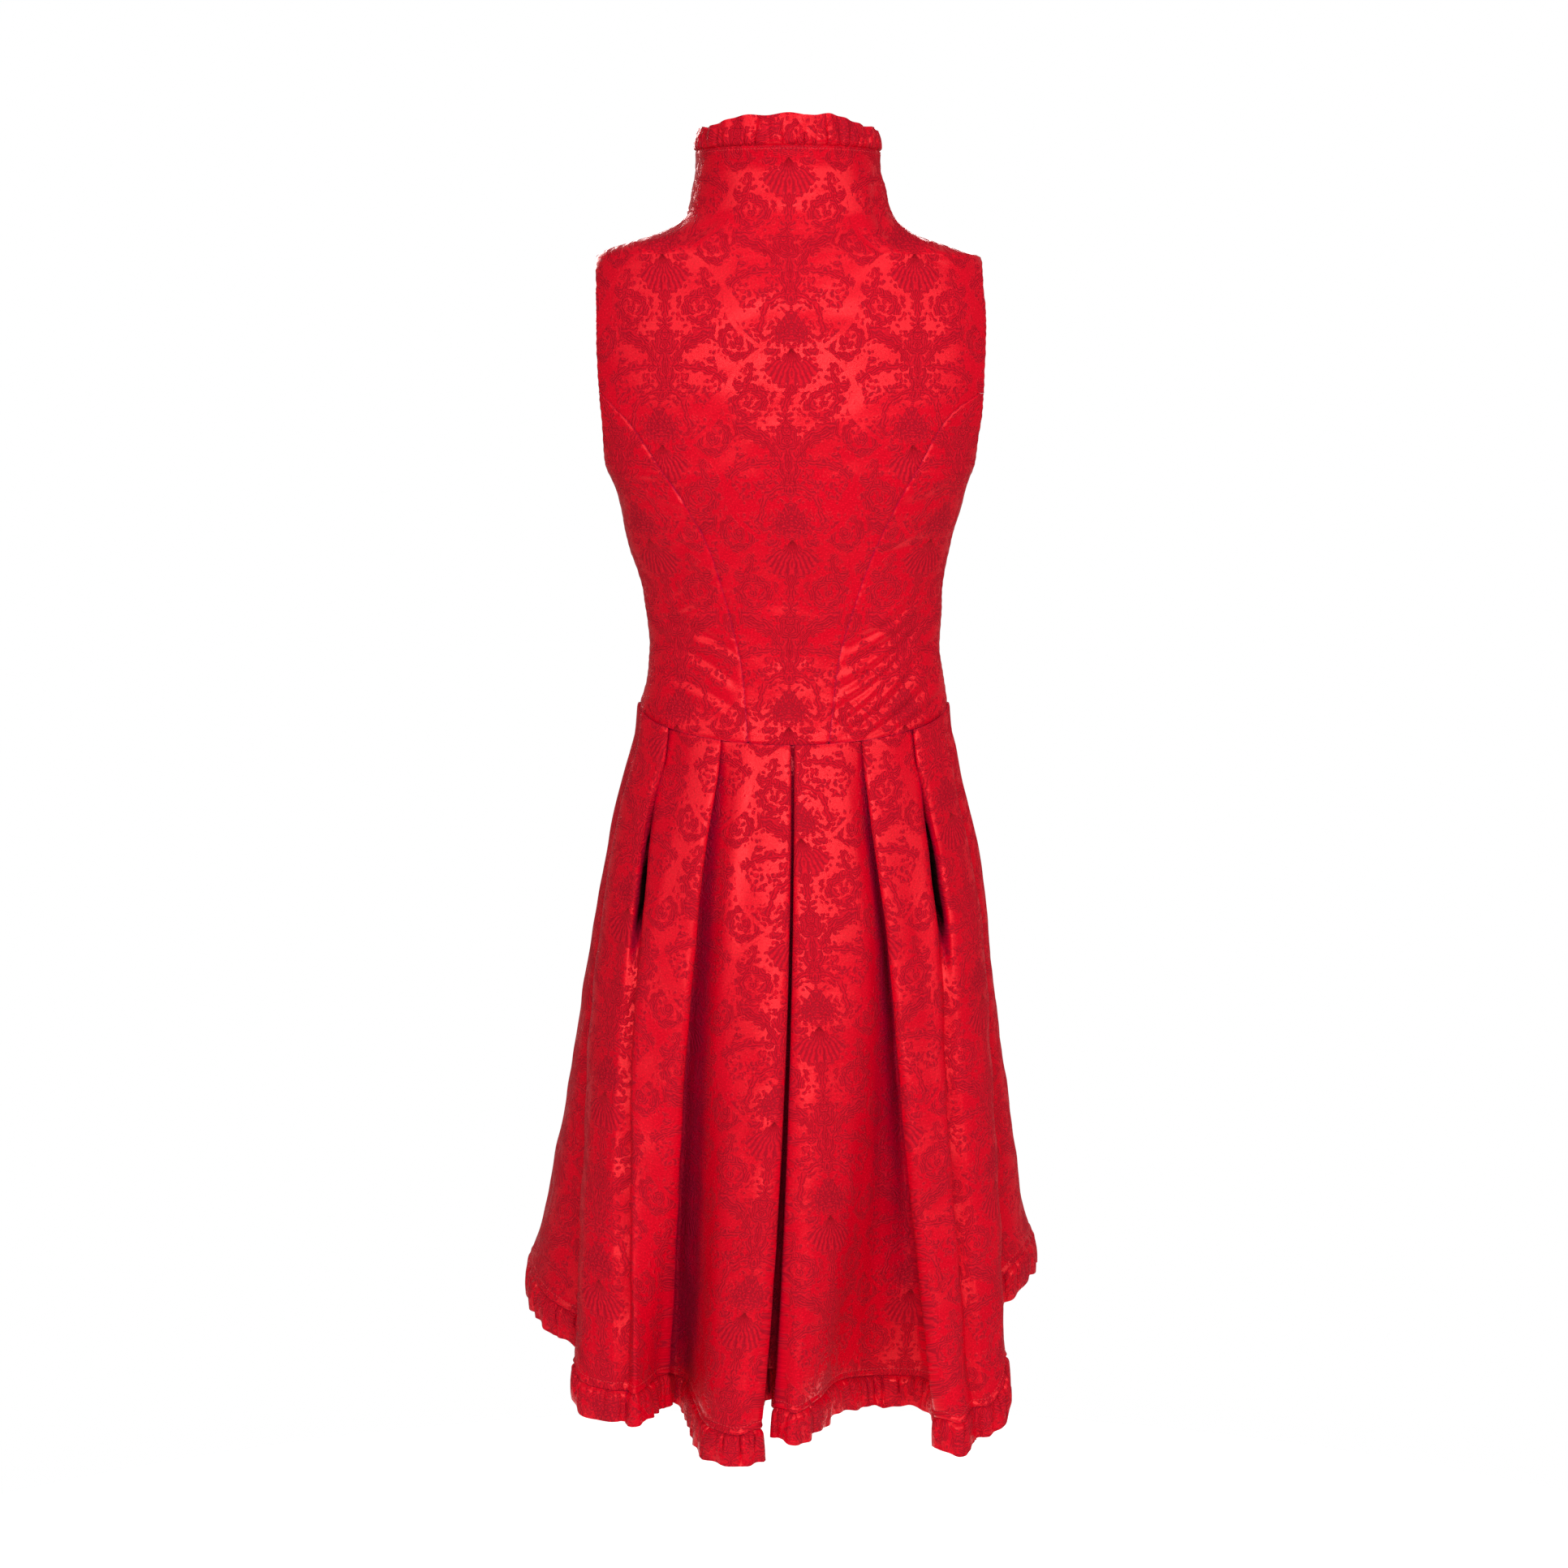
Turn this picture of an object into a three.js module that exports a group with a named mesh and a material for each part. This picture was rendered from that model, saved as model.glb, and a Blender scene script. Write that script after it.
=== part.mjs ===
// Sleeveless dirndl with a high stand collar, princess seams, a pleated high-low skirt and
// gathered ruffles at the neckline and hem. Millimetres, +Z up, centre back towards +Y, centre
// front towards -Y and the wearer's left towards +X. The origin lies midway between the
// shoulder tips.
import * as THREE from "three";

const BODICE_WALL = 1.4;
const SKIRT_WALL = 1.2;
const RUFFLE_WALL = 1.1;
const SEAM_GAP = 0.3;
const WAIST_Z = -373;
const BACK_DIP = 29;
const FRONT_DIP = 15;
const DIP_FADE = 53;
const CUP = { x: 72, z: -222, wide: 40, high: 40, out: 13 };
const WAIST_BACK = 76.5;
const WAIST_FRONT = 99;
const MID = 0.45;
const ROLL = [1.4, 4, 8];
const NECK_RUFFLE = { tall: 25, low: 11, side: 0.28, waves: 56, root: 0.5, crest: 2.2, lean: 0.2, gap: 0.6 };
const HEM_RUFFLE = { tall: 25, root: 0.7, crest: 3.6, flare: 2, gap: 1 };
const CLOTH_COLOUR = 0xc81828;

// Half-width of the bodice at the side, armhole, shoulder and collar
const SIDES = [
  { z: 87, left: 81, right: 74.5 },
  { z: 72, left: 80.6, right: 75 },
  { z: 54, left: 83.4, right: 79 },
  { z: 43, left: 86, right: 81 },
  { z: 37, left: 88.2, right: 84 },
  { z: 32, left: 91.6, right: 87 },
  { z: 27, left: 98.4, right: 92 },
  { z: 21, left: 108.6, right: 100 },
  { z: 16, left: 123, right: 110 },
  { z: 11, left: 141, right: 126 },
  { z: 5, left: 157, right: 143 },
  { z: 0, left: 163.5, right: 158 },
  { z: -25, left: 162.6, right: 160.4 },
  { z: -50, left: 162.6, right: 162 },
  { z: -103, left: 160.4, right: 160.5 },
  { z: -143, left: 157.2, right: 157 },
  { z: -170, left: 154.8, right: 153.6 },
  { z: -197, left: 146.6, right: 145.6 },
  { z: -238, left: 137.6, right: 134.4 },
  { z: -279, left: 125.4, right: 127.6 },
  { z: -321, left: 120.3, right: 126.2 },
  { z: -348, left: 122.4, right: 128.8 },
  { z: -373, left: 128.8, right: 132.4 },
];

// Back: depth at the centre, depth of the armhole edge and how square the section is
const BACK = [
  { z: 87, deep: 71, arm: 0, square: 1 },
  { z: 66, deep: 67, arm: 0, square: 1 },
  { z: 40, deep: 68, arm: 0, square: 1 },
  { z: 18, deep: 74, arm: 0, square: 1 },
  { z: 0, deep: 81, arm: 1, square: 1.15 },
  { z: -4, deep: 82, arm: 10, square: 1.2 },
  { z: -10, deep: 83.6, arm: 17, square: 1.26 },
  { z: -20, deep: 86.3, arm: 25, square: 1.32 },
  { z: -45, deep: 92, arm: 36, square: 1.4 },
  { z: -80, deep: 97, arm: 43, square: 1.4 },
  { z: -117, deep: 100, arm: 45, square: 1.4 },
  { z: -150, deep: 99, arm: 37, square: 1.3 },
  { z: -165, deep: 97.6, arm: 27, square: 1.2 },
  { z: -175, deep: 96.6, arm: 15, square: 1.08 },
  { z: -179, deep: 96.2, arm: 7.5, square: 1.02 },
  { z: -181, deep: 96, arm: 0, square: 1 },
  { z: -215, deep: 90, arm: 0, square: 1 },
  { z: -250, deep: 82, arm: 0, square: 1 },
  { z: -290, deep: 73, arm: 0, square: 1 },
  { z: -325, deep: 69, arm: 0, square: 1 },
  { z: -350, deep: 70, arm: 0, square: 1 },
  { z: -373, deep: 74, arm: 0, square: 1 },
];

// Front: as the back, with the half-width of the neckline
const FRONT = [
  { z: 87, deep: 66, arm: 0, square: 1, neck: 80 },
  { z: 80, deep: 66, arm: 0, square: 1, neck: 74 },
  { z: 70, deep: 66, arm: 0, square: 1, neck: 69 },
  { z: 60, deep: 66, arm: 0, square: 1, neck: 65.5 },
  { z: 40, deep: 67, arm: 0, square: 1, neck: 62 },
  { z: 18, deep: 67, arm: 0, square: 1, neck: 61 },
  { z: 0, deep: 68, arm: 1, square: 1.1, neck: 60 },
  { z: -4, deep: 69, arm: 9, square: 1.13, neck: 59.5 },
  { z: -10, deep: 70.5, arm: 15, square: 1.16, neck: 58.6 },
  { z: -20, deep: 73, arm: 21, square: 1.2, neck: 57 },
  { z: -70, deep: 88, arm: 34, square: 1.2, neck: 47 },
  { z: -117, deep: 104, arm: 38, square: 1.15, neck: 35 },
  { z: -145, deep: 112, arm: 34.5, square: 1.1, neck: 23.5 },
  { z: -153, deep: 114.5, arm: 32, square: 1.08, neck: 15.5 },
  { z: -157, deep: 115.7, arm: 30, square: 1.06, neck: 7 },
  { z: -158, deep: 116, arm: 29.5, square: 1.06, neck: 0 },
  { z: -166, deep: 118, arm: 24.5, square: 1.02, neck: 0 },
  { z: -175, deep: 120, arm: 14.5, square: 0.95, neck: 0 },
  { z: -179, deep: 120.7, arm: 7.5, square: 0.92, neck: 0 },
  { z: -181, deep: 121, arm: 0, square: 0.9, neck: 0 },
  { z: -215, deep: 125, arm: 0, square: 0.85, neck: 0 },
  { z: -250, deep: 119, arm: 0, square: 0.9, neck: 0 },
  { z: -290, deep: 103, arm: 0, square: 1, neck: 0 },
  { z: -325, deep: 94, arm: 0, square: 1, neck: 0 },
  { z: -350, deep: 93, arm: 0, square: 1, neck: 0 },
  { z: -373, deep: 97, arm: 0, square: 1, neck: 0 },
];

// Princess seams of the back: half-width from the centre back
const PRINCESS = [
  { z: -108, left: 162, right: 162 },
  { z: -116, left: 155, right: 151 },
  { z: -125, left: 146, right: 137 },
  { z: -139, left: 132, right: 124 },
  { z: -167, left: 113, right: 108 },
  { z: -207, left: 86, right: 85 },
  { z: -246, left: 66, right: 67 },
  { z: -279, left: 56, right: 55 },
  { z: -314, left: 47, right: 44 },
  { z: -340, left: 40.5, right: 37 },
  { z: -373, left: 36, right: 31 },
];

// Half-width of the skirt at the sides
const SKIRT_SIDES = [
  { z: -373, left: 130.6, right: 134.2 },
  { z: -396, left: 132.4, right: 136.2 },
  { z: -410, left: 136, right: 139.6 },
  { z: -438, left: 144, right: 144.6 },
  { z: -466, left: 151, right: 151.6 },
  { z: -522, left: 161.5, right: 163.6 },
  { z: -577, left: 171.8, right: 170.6 },
  { z: -634, left: 181.6, right: 176.4 },
  { z: -690, left: 190, right: 183.6 },
  { z: -747, left: 200.6, right: 191.6 },
  { z: -804, left: 211.8, right: 198.5 },
  { z: -834, left: 218.6, right: 202.5 },
  { z: -854, left: 225, right: 207.5 },
];

// Round the skirt from centre front by the left side, back and right side. A row is a pleat
// edge, a soft crest or a hollow. waistX lies on the waistline, layer counts the cloth above it,
// and mid and hem are the places half way down and at the hem. On a pleat edge, over says whether
// the panel on top lies before or after the edge, tuck is how far the cloth folds back under it,
// sink is how deep the cloth below lies, turn is the share of the outline's own slope, and underZ
// is the hem height of the cloth below.
const SKIRT = [
  { front: 1, waistX: 0, layer: 0, midX: 0, midY: -133, hemX: 0, hemY: -164, hemZ: -825 },
  { front: 1, waistX: 17, layer: 0, midX: 26, midY: -135, hemX: 32, hemY: -168, hemZ: -825 },
  { front: 1, waistX: 35, layer: 0, midX: 50, midY: -131, hemX: 62, hemY: -163, hemZ: -826,
    over: -1, tuckW: 10, tuckM: 9, tuckH: 12, sinkM: 18, sinkH: 36, turn: 0.7, underZ: -827 },
  { front: 1, waistX: 52, layer: 0.5, midX: 76, midY: -122, hemX: 97, hemY: -150, hemZ: -827 },
  { front: 1, waistX: 70, layer: 0, midX: 98, midY: -113, hemX: 126, hemY: -138, hemZ: -828,
    over: -1, tuckW: 10, tuckM: 9, tuckH: 12, sinkM: 18, sinkH: 36, turn: 0.8, underZ: -830 },
  { front: 1, waistX: 88, layer: 0.5, midX: 122, midY: -99, hemX: 158, hemY: -116, hemZ: -831 },
  { front: 1, waistX: 104, layer: 0, midX: 142, midY: -83, hemX: 184, hemY: -94, hemZ: -834,
    over: -1, tuckW: 10, tuckM: 9, tuckH: 12, sinkM: 18, sinkH: 36, turn: 0.9, underZ: -838 },
  { front: 1, waistX: 121, layer: 0.7, midX: 164, midY: -46, hemX: 213, hemY: -48, hemZ: -844 },
  { front: 1, waistX: 130, layer: 0, midX: 174, midY: -8, hemX: 225, hemY: 2, hemZ: -857 },
  { front: 0, waistX: 129.6, layer: 1, midX: 170, midY: 16, hemX: 206, hemY: 56, hemZ: -873 },
  { front: 0, waistX: 126.5, layer: 0, midX: 170, midY: 40, hemX: 185, hemY: 110, hemZ: -915,
    over: 1, tuckW: 12, tuckM: 14, tuckH: 20, sinkM: 17, sinkH: 34, turn: 0.8, underZ: -890 },
  { front: 0, waistX: 118, layer: 0, midX: 162, midY: 64, hemX: 172, hemY: 132, hemZ: -924 },
  { front: 0, waistX: 104, layer: 0, midX: 141, midY: 86, hemX: 146, hemY: 146, hemZ: -928,
    over: -1, tuckW: 12, tuckM: -7, tuckH: -8, sinkM: 9, sinkH: 8, turn: 1, underZ: -929 },
  { front: 0, waistX: 82, layer: 0.35, midX: 112, midY: 105, hemX: 121, hemY: 137, hemZ: -928 },
  { front: 0, waistX: 59, layer: 0, midX: 87, midY: 112, hemX: 104, hemY: 112, hemZ: -926,
    over: -1, tuckW: 14, tuckM: 12, tuckH: 14, sinkM: 34, sinkH: 50, turn: 0.15, underZ: -938 },
  { front: 0, waistX: 46, layer: 1.3, midX: 74, midY: 94, hemX: 91, hemY: 65, hemZ: -941 },
  { front: 0, waistX: 38, layer: 0.9, midX: 62, midY: 112, hemX: 81, hemY: 108, hemZ: -947 },
  { front: 0, waistX: 28, layer: 0.6, midX: 48, midY: 122, hemX: 66, hemY: 169, hemZ: -952 },
  { front: 0, waistX: 15, layer: 0.3, midX: 27, midY: 129, hemX: 43, hemY: 185, hemZ: -954 },
  { front: 0, waistX: 0.8, layer: 0, midX: 5, midY: 129, hemX: 25, hemY: 181, hemZ: -951,
    over: -1, tuckW: 12, tuckM: 16, tuckH: 20, sinkM: 36, sinkH: 92, turn: 0, underZ: -927 },
  { front: 0, waistX: -2.8, layer: 0, midX: 0.5, midY: 127, hemX: 14, hemY: 172, hemZ: -936,
    over: 1, tuckW: 12, tuckM: 14, tuckH: 13, sinkM: 36, sinkH: 84, turn: 0, underZ: -926 },
  { front: 0, waistX: -17, layer: 0.3, midX: -21, midY: 128, hemX: -2, hemY: 177, hemZ: -938 },
  { front: 0, waistX: -29, layer: 0.6, midX: -46, midY: 120, hemX: -19, hemY: 157, hemZ: -934 },
  { front: 0, waistX: -38, layer: 0.9, midX: -64, midY: 106, hemX: -39, hemY: 102, hemZ: -932 },
  { front: 0, waistX: -46, layer: 1.3, midX: -77, midY: 90, hemX: -72, hemY: 70, hemZ: -937 },
  { front: 0, waistX: -59, layer: 0, midX: -88, midY: 111, hemX: -119, hemY: 150, hemZ: -951,
    over: 1, tuckW: 14, tuckM: 12, tuckH: 10, sinkM: 34, sinkH: 76, turn: 0.15, underZ: -938 },
  { front: 0, waistX: -80, layer: 0.35, midX: -112, midY: 102, hemX: -139, hemY: 151, hemZ: -954 },
  { front: 0, waistX: -103, layer: 0, midX: -139, midY: 86, hemX: -160, hemY: 134, hemZ: -945,
    over: 1, tuckW: 10, tuckM: -7, tuckH: -7, sinkM: 9, sinkH: 7, turn: 1, underZ: -947 },
  { front: 0, waistX: -118, layer: 0, midX: -160, midY: 63, hemX: -176, hemY: 118, hemZ: -929 },
  { front: 0, waistX: -129, layer: 0, midX: -167, midY: 38, hemX: -184, hemY: 98, hemZ: -913,
    over: -1, tuckW: 10, tuckM: 14, tuckH: 20, sinkM: 17, sinkH: 34, turn: 0.8, underZ: -870 },
  { front: 0, waistX: -133, layer: 1, midX: -167, midY: 14, hemX: -193, hemY: 44, hemZ: -842 },
  { front: 1, waistX: -133.8, layer: 0, midX: -171, midY: -8, hemX: -207.5, hemY: -4, hemZ: -835 },
  { front: 1, waistX: -124, layer: 0.7, midX: -161, midY: -46, hemX: -198, hemY: -50, hemZ: -831 },
  { front: 1, waistX: -106, layer: 0, midX: -140, midY: -83, hemX: -176, hemY: -95, hemZ: -829,
    over: 1, tuckW: 10, tuckM: 9, tuckH: 12, sinkM: 18, sinkH: 36, turn: 0.9, underZ: -830 },
  { front: 1, waistX: -89, layer: 0.5, midX: -120, midY: -99, hemX: -152, hemY: -117, hemZ: -828 },
  { front: 1, waistX: -71, layer: 0, midX: -96, midY: -113, hemX: -122, hemY: -138, hemZ: -827,
    over: 1, tuckW: 10, tuckM: 9, tuckH: 12, sinkM: 18, sinkH: 36, turn: 0.8, underZ: -828 },
  { front: 1, waistX: -53, layer: 0.5, midX: -75, midY: -122, hemX: -94, hemY: -150, hemZ: -826 },
  { front: 1, waistX: -36, layer: 0, midX: -49, midY: -131, hemX: -60, hemY: -163, hemZ: -826,
    over: 1, tuckW: 10, tuckM: 9, tuckH: 12, sinkM: 18, sinkH: 36, turn: 0.7, underZ: -826 },
  { front: 1, waistX: -17, layer: 0, midX: -26, midY: -135, hemX: -32, hemY: -168, hemZ: -825 },
  { front: 1, waistX: -0.1, layer: 0, midX: 0, midY: -133, hemX: 0, hemY: -164, hemZ: -825 },
];

const UNDER_SHARE = [0, 0, 0.1, 0.35, 0.5, 0.7, 1];
const INNER_FOLD = 4;
const SKIRT_ROWS = [0, 0.05, 0.13, 0.25, 0.42, 0.6, 0.8, 1];
const BODICE_ROWS = [-373, -350, -325, -295, -260, -225, -197, -181, -179, -175, -165, -150, -130,
  -113, -112.7, -80, -45, -20, -10, -4, 0, 5, 11, 16, 21, 27, 35, 50, 87];
const FRONT_ROWS = [-373, -350, -325, -295, -260, -225, -197, -181, -179, -175, -166, -158, -157,
  -153, -146, -135, -117, -80, -45, -20, -10, -4, 0, 5, 11, 16, 21, 27, 35, 50, 68, 82];
const ARMHOLE_SEAM_Z = -113;

// Monotone cubic through one named column of a table
function column(table, key, by = "z") {
  const rows = [...table].sort((a, b) => a[by] - b[by]);
  const last = rows.length - 1;
  const slope = [];
  const tangent = [];
  for (let i = 0; i < last; i += 1) {
    slope.push((rows[i + 1][key] - rows[i][key]) / (rows[i + 1][by] - rows[i][by]));
  }
  for (let i = 0; i <= last; i += 1) {
    const before = slope[Math.max(i - 1, 0)];
    const after = slope[Math.min(i, last - 1)];
    tangent.push(before * after <= 0 ? 0 : 2 * before * after / (before + after));
  }
  return (at) => {
    const x = Math.min(Math.max(at, rows[0][by]), rows[last][by]);
    let i = 0;
    while (i < last - 1 && x > rows[i + 1][by]) i += 1;
    const h = rows[i + 1][by] - rows[i][by];
    const s = (x - rows[i][by]) / h;
    const s2 = s * s;
    const s3 = s2 * s;
    return (2 * s3 - 3 * s2 + 1) * rows[i][key] + (s3 - 2 * s2 + s) * h * tangent[i]
      + (3 * s2 - 2 * s3) * rows[i + 1][key] + (s3 - s2) * h * tangent[i + 1];
  };
}

const half = { 1: column(SIDES, "left"), "-1": column(SIDES, "right") };
const seamHalf = { 1: column(PRINCESS, "left"), "-1": column(PRINCESS, "right") };
const back = { deep: column(BACK, "deep"), arm: column(BACK, "arm"), square: column(BACK, "square") };
const front = {
  deep: column(FRONT, "deep"),
  arm: column(FRONT, "arm"),
  square: column(FRONT, "square"),
  neck: column(FRONT, "neck"),
};

function smooth(v) {
  const s = Math.min(Math.max(v, 0), 1);
  return s * s * (3 - 2 * s);
}

// Bodice surface: side is 1 on the left and -1 on the right, turn runs from 0 at the centre to 1
// at the side, and z is the height of the row at the side
function backPoint(side, turn, z) {
  const angle = turn * Math.PI / 2;
  const c = Math.max(Math.cos(angle), 0);
  const y = back.arm(z) + (back.deep(z) - back.arm(z)) * c ** back.square(z);
  const dip = BACK_DIP * c * smooth((WAIST_Z + DIP_FADE - z) / DIP_FADE);
  return new THREE.Vector3(side * half[side](z) * Math.sin(angle), y, z - dip);
}

function frontPoint(side, turn, z) {
  const angle = turn * Math.PI / 2;
  const c = Math.max(Math.cos(angle), 0);
  const x = half[side](z) * Math.sin(angle);
  const cup = CUP.out * Math.exp(-(((x - CUP.x) / CUP.wide) ** 2 + ((z - CUP.z) / CUP.high) ** 2) / 2);
  const y = front.arm(z) + (front.deep(z) - front.arm(z)) * c ** front.square(z) + cup * c;
  const dip = FRONT_DIP * c * smooth((WAIST_Z + DIP_FADE - z) / DIP_FADE);
  return new THREE.Vector3(side * x, -y, z - dip);
}

function turnAt(side, x, z) {
  return Math.asin(Math.min(x / half[side](z), 1)) / (Math.PI / 2);
}

function princessTurn(side, z) {
  if (z > ARMHOLE_SEAM_Z) return 1;
  return Math.min(turnAt(side, seamHalf[side](z), z), 0.95);
}

// Normals of a grid whose rows run upwards and whose columns run with the outside on the right
function gridNormals(grid) {
  return grid.map((row, i) => row.map((p, j) => {
    const along = new THREE.Vector3().subVectors(
      row[Math.min(j + 1, row.length - 1)], row[Math.max(j - 1, 0)]);
    const up = new THREE.Vector3().subVectors(
      grid[Math.min(i + 1, grid.length - 1)][j], grid[Math.max(i - 1, 0)][j]);
    return new THREE.Vector3().crossVectors(along, up).normalize();
  }));
}

function offset(grid, normals, distance) {
  return grid.map((row, i) => row.map((p, j) => p.clone().addScaledVector(normals[i][j], distance)));
}

// Closed wall between an outer and an inner grid, with rims on its four sides
function wall(name, outer, inner, colour) {
  const rows = outer.length;
  const cols = outer[0].length;
  const points = [...outer.flat(), ...inner.flat()];
  const inside = rows * cols;
  const index = [];
  const quad = (a, b, c, d) => index.push(a, b, c, a, c, d);
  for (let i = 0; i < rows - 1; i += 1) {
    for (let j = 0; j < cols - 1; j += 1) {
      const a = i * cols + j;
      const b = a + 1;
      const c = b + cols;
      const d = a + cols;
      quad(a, b, c, d);
      quad(inside + a, inside + d, inside + c, inside + b);
    }
  }
  for (let j = 0; j < cols - 1; j += 1) {
    const top = (rows - 1) * cols + j;
    quad(j, inside + j, inside + j + 1, j + 1);
    quad(top, top + 1, inside + top + 1, inside + top);
  }
  for (let i = 0; i < rows - 1; i += 1) {
    const first = i * cols;
    const end = first + cols - 1;
    quad(first, first + cols, inside + first + cols, inside + first);
    quad(end, inside + end, inside + end + cols, end + cols);
  }
  const geometry = new THREE.BufferGeometry();
  geometry.setAttribute("position", new THREE.Float32BufferAttribute(points.flatMap((p) => p.toArray()), 3));
  geometry.setIndex(index);
  geometry.computeVertexNormals();
  const material = new THREE.MeshStandardMaterial({ color: colour, roughness: 0.6, metalness: 0 });
  const mesh = new THREE.Mesh(geometry, material);
  mesh.name = name;
  return mesh;
}

// Surface normal, pointing outwards, of a surface given by a turn and a height
function surfaceNormal(at, turn, z) {
  const e = 0.01;
  const along = at(Math.min(turn + e, 1), z).sub(at(Math.max(turn - e, -1), z));
  const normal = along.cross(at(turn, z + 2).sub(at(turn, z - 2))).normalize();
  const p = at(turn, z);
  return normal.x * p.x + normal.y * p.y < 0 ? normal.negate() : normal;
}

const seam = SEAM_GAP / 2;

// A row of cols points of a surface, each end drawn in by half a seam, with their normals
function section(at, z, from, to, cols) {
  const step = (to - from) / 200;
  const mmPerTurn = (w) => at(w + step, z).distanceTo(at(w, z)) / step;
  const start = from + seam / mmPerTurn(from);
  const end = to - seam / mmPerTurn(to - step);
  const turns = Array.from({ length: cols }, (_, j) => start + (end - start) * j / (cols - 1));
  return {
    points: turns.map((w) => at(w, z)),
    normals: turns.map((w) => surfaceNormal(at, w, z)),
  };
}

function gridOf(rows) {
  return { points: rows.map((row) => row.points), normals: rows.map((row) => row.normals) };
}

// Walks the back from left to right, so that the outside is on the right hand
function backAt(turn, z) {
  return turn < 0 ? backPoint(1, -turn, z) : backPoint(-1, turn, z);
}

// Walks the front from right to left
function frontAt(turn, z) {
  return turn < 0 ? frontPoint(-1, -turn, z) : frontPoint(1, turn, z);
}

function backPanelGrid(cols) {
  return gridOf(BODICE_ROWS.map((z) => section(backAt, z, -princessTurn(1, z), princessTurn(-1, z), cols)));
}

function sideBackGrid(side, cols) {
  const rows = BODICE_ROWS.filter((z) => z <= ARMHOLE_SEAM_Z);
  return gridOf(rows.map((z) => (side > 0
    ? section(backAt, z, -1, -princessTurn(1, z), cols)
    : section(backAt, z, princessTurn(-1, z), 1, cols))));
}

function frontGrid(side, cols) {
  return gridOf(FRONT_ROWS.map((z) => {
    const neck = turnAt(1, front.neck(z), z);
    return side > 0 ? section(frontAt, z, neck, 1, cols) : section(frontAt, z, -1, -neck, cols);
  }));
}

function bodicePiece(name, grid) {
  return wall(name, grid.points, offset(grid.points, grid.normals, -BODICE_WALL), CLOTH_COLOUR);
}

// Outline of a pleat from its edge to the cloth below, as [back under the panel on top, depth]
function pleatShape(roll, tuck, sink) {
  const mid = roll + sink / 2;
  const tall = Math.min(sink / 2 - roll, 1.2 * (tuck - roll));
  const round = Math.min(tall, tuck / 2);
  return [
    [roll, 0],
    [0, roll],
    [Math.min(roll, tuck / 2), 2 * roll],
    [tuck - round, mid - tall],
    [tuck, mid],
    [tuck - round, mid + tall],
    [0, sink],
  ];
}

// Outline of a pleat that has opened into a soft hollow
function hollowShape(tuck, sink) {
  return [
    [-tuck / 4, 0],
    [0, sink * 0.12],
    [tuck * 0.4, sink * 0.5],
    [tuck * 0.75, sink * 0.85],
    [tuck, sink],
    [tuck * 1.3, sink * 0.9],
    [tuck * 2.2, sink * 0.35],
  ];
}

// Control points of the skirt's section at one level: 0 at the waist, 1 half way and 2 at the hem
function skirtLevel(level) {
  const points = [];
  const sides = SKIRT_SIDES.at(level === 0 ? 0 : -1);
  const roll = ROLL[level];
  for (const row of SKIRT) {
    const sign = row.front ? -1 : 1;
    const a = row.waistX < 0 ? sides.right : sides.left;
    const b = level === 0 ? (row.front ? WAIST_FRONT : WAIST_BACK) : 0.8 * a;
    const x = [row.waistX, row.midX, row.hemX][level];
    const onWaist = sign * b * Math.sqrt(Math.max(1 - (x / a) ** 2, 0));
    const y = [onWaist, row.midY, row.hemY][level];
    const own = Math.atan2(x / a ** 2, y / b ** 2);
    const centre = row.front ? Math.PI * Math.sign(own || 1) : 0;
    const share = level === 0 || row.turn === undefined ? 1 : row.turn;
    const angle = centre + (own - centre) * share;
    const outward = new THREE.Vector2(Math.sin(angle), Math.cos(angle));
    const along = new THREE.Vector2(-outward.y, outward.x);
    const place = (side, depth, z) => new THREE.Vector3(
      x + along.x * side - outward.x * depth, y + along.y * side - outward.y * depth, z);
    if (!row.over) {
      points.push({ at: place(0, level === 0 ? row.layer * 2 * roll : 0, row.hemZ), steps: 2 });
      continue;
    }
    const tuck = [row.tuckW, row.tuckM, row.tuckH][level];
    const sink = [4 * roll, row.sinkM, row.sinkH][level];
    const shape = tuck > 0 ? pleatShape(roll, tuck, sink) : hollowShape(tuck, sink);
    const fold = shape.map(([side, depth], k) => ({
      at: place(row.over * side, depth, row.hemZ + (row.underZ - row.hemZ) * UNDER_SHARE[k]),
      steps: 1,
      inner: k === INNER_FOLD,
    }));
    if (row.over > 0) fold.reverse();
    fold.at(-1).steps = 2;
    points.push(...fold);
  }
  return points;
}

const LEVELS = [skirtLevel(0), skirtLevel(1), skirtLevel(2)];
const skirtHalf = { 1: column(SKIRT_SIDES, "left"), "-1": column(SKIRT_SIDES, "right") };

// Parabola through a value at the waist, half way and the hem
function between(a, b, c, t) {
  const bend = ((b - a) - (c - a) * MID) / (MID * MID - MID);
  return a + (c - a - bend) * t + bend * t * t;
}

// Widths at the waist, half way and hem, and at t, for the hip curve of the sides
function hipScale(side, t) {
  const low = SKIRT_SIDES.at(-1).z;
  const at = (s) => skirtHalf[side](WAIST_Z + (low - WAIST_Z) * s);
  return at(t) / between(at(0), at(MID), at(1), t);
}

// Control points of the section at t, from the waist (0) to the hem (1), at their hem height
function skirtControls(t) {
  const scale = { 1: hipScale(1, t), "-1": hipScale(-1, t) };
  return LEVELS[0].map((c, i) => {
    const [w, m, h] = LEVELS.map((level) => level[i].at);
    const x = between(w.x, m.x, h.x, t);
    return new THREE.Vector3(x * scale[x < 0 ? -1 : 1], between(w.y, m.y, h.y, t), h.z);
  });
}

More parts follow.
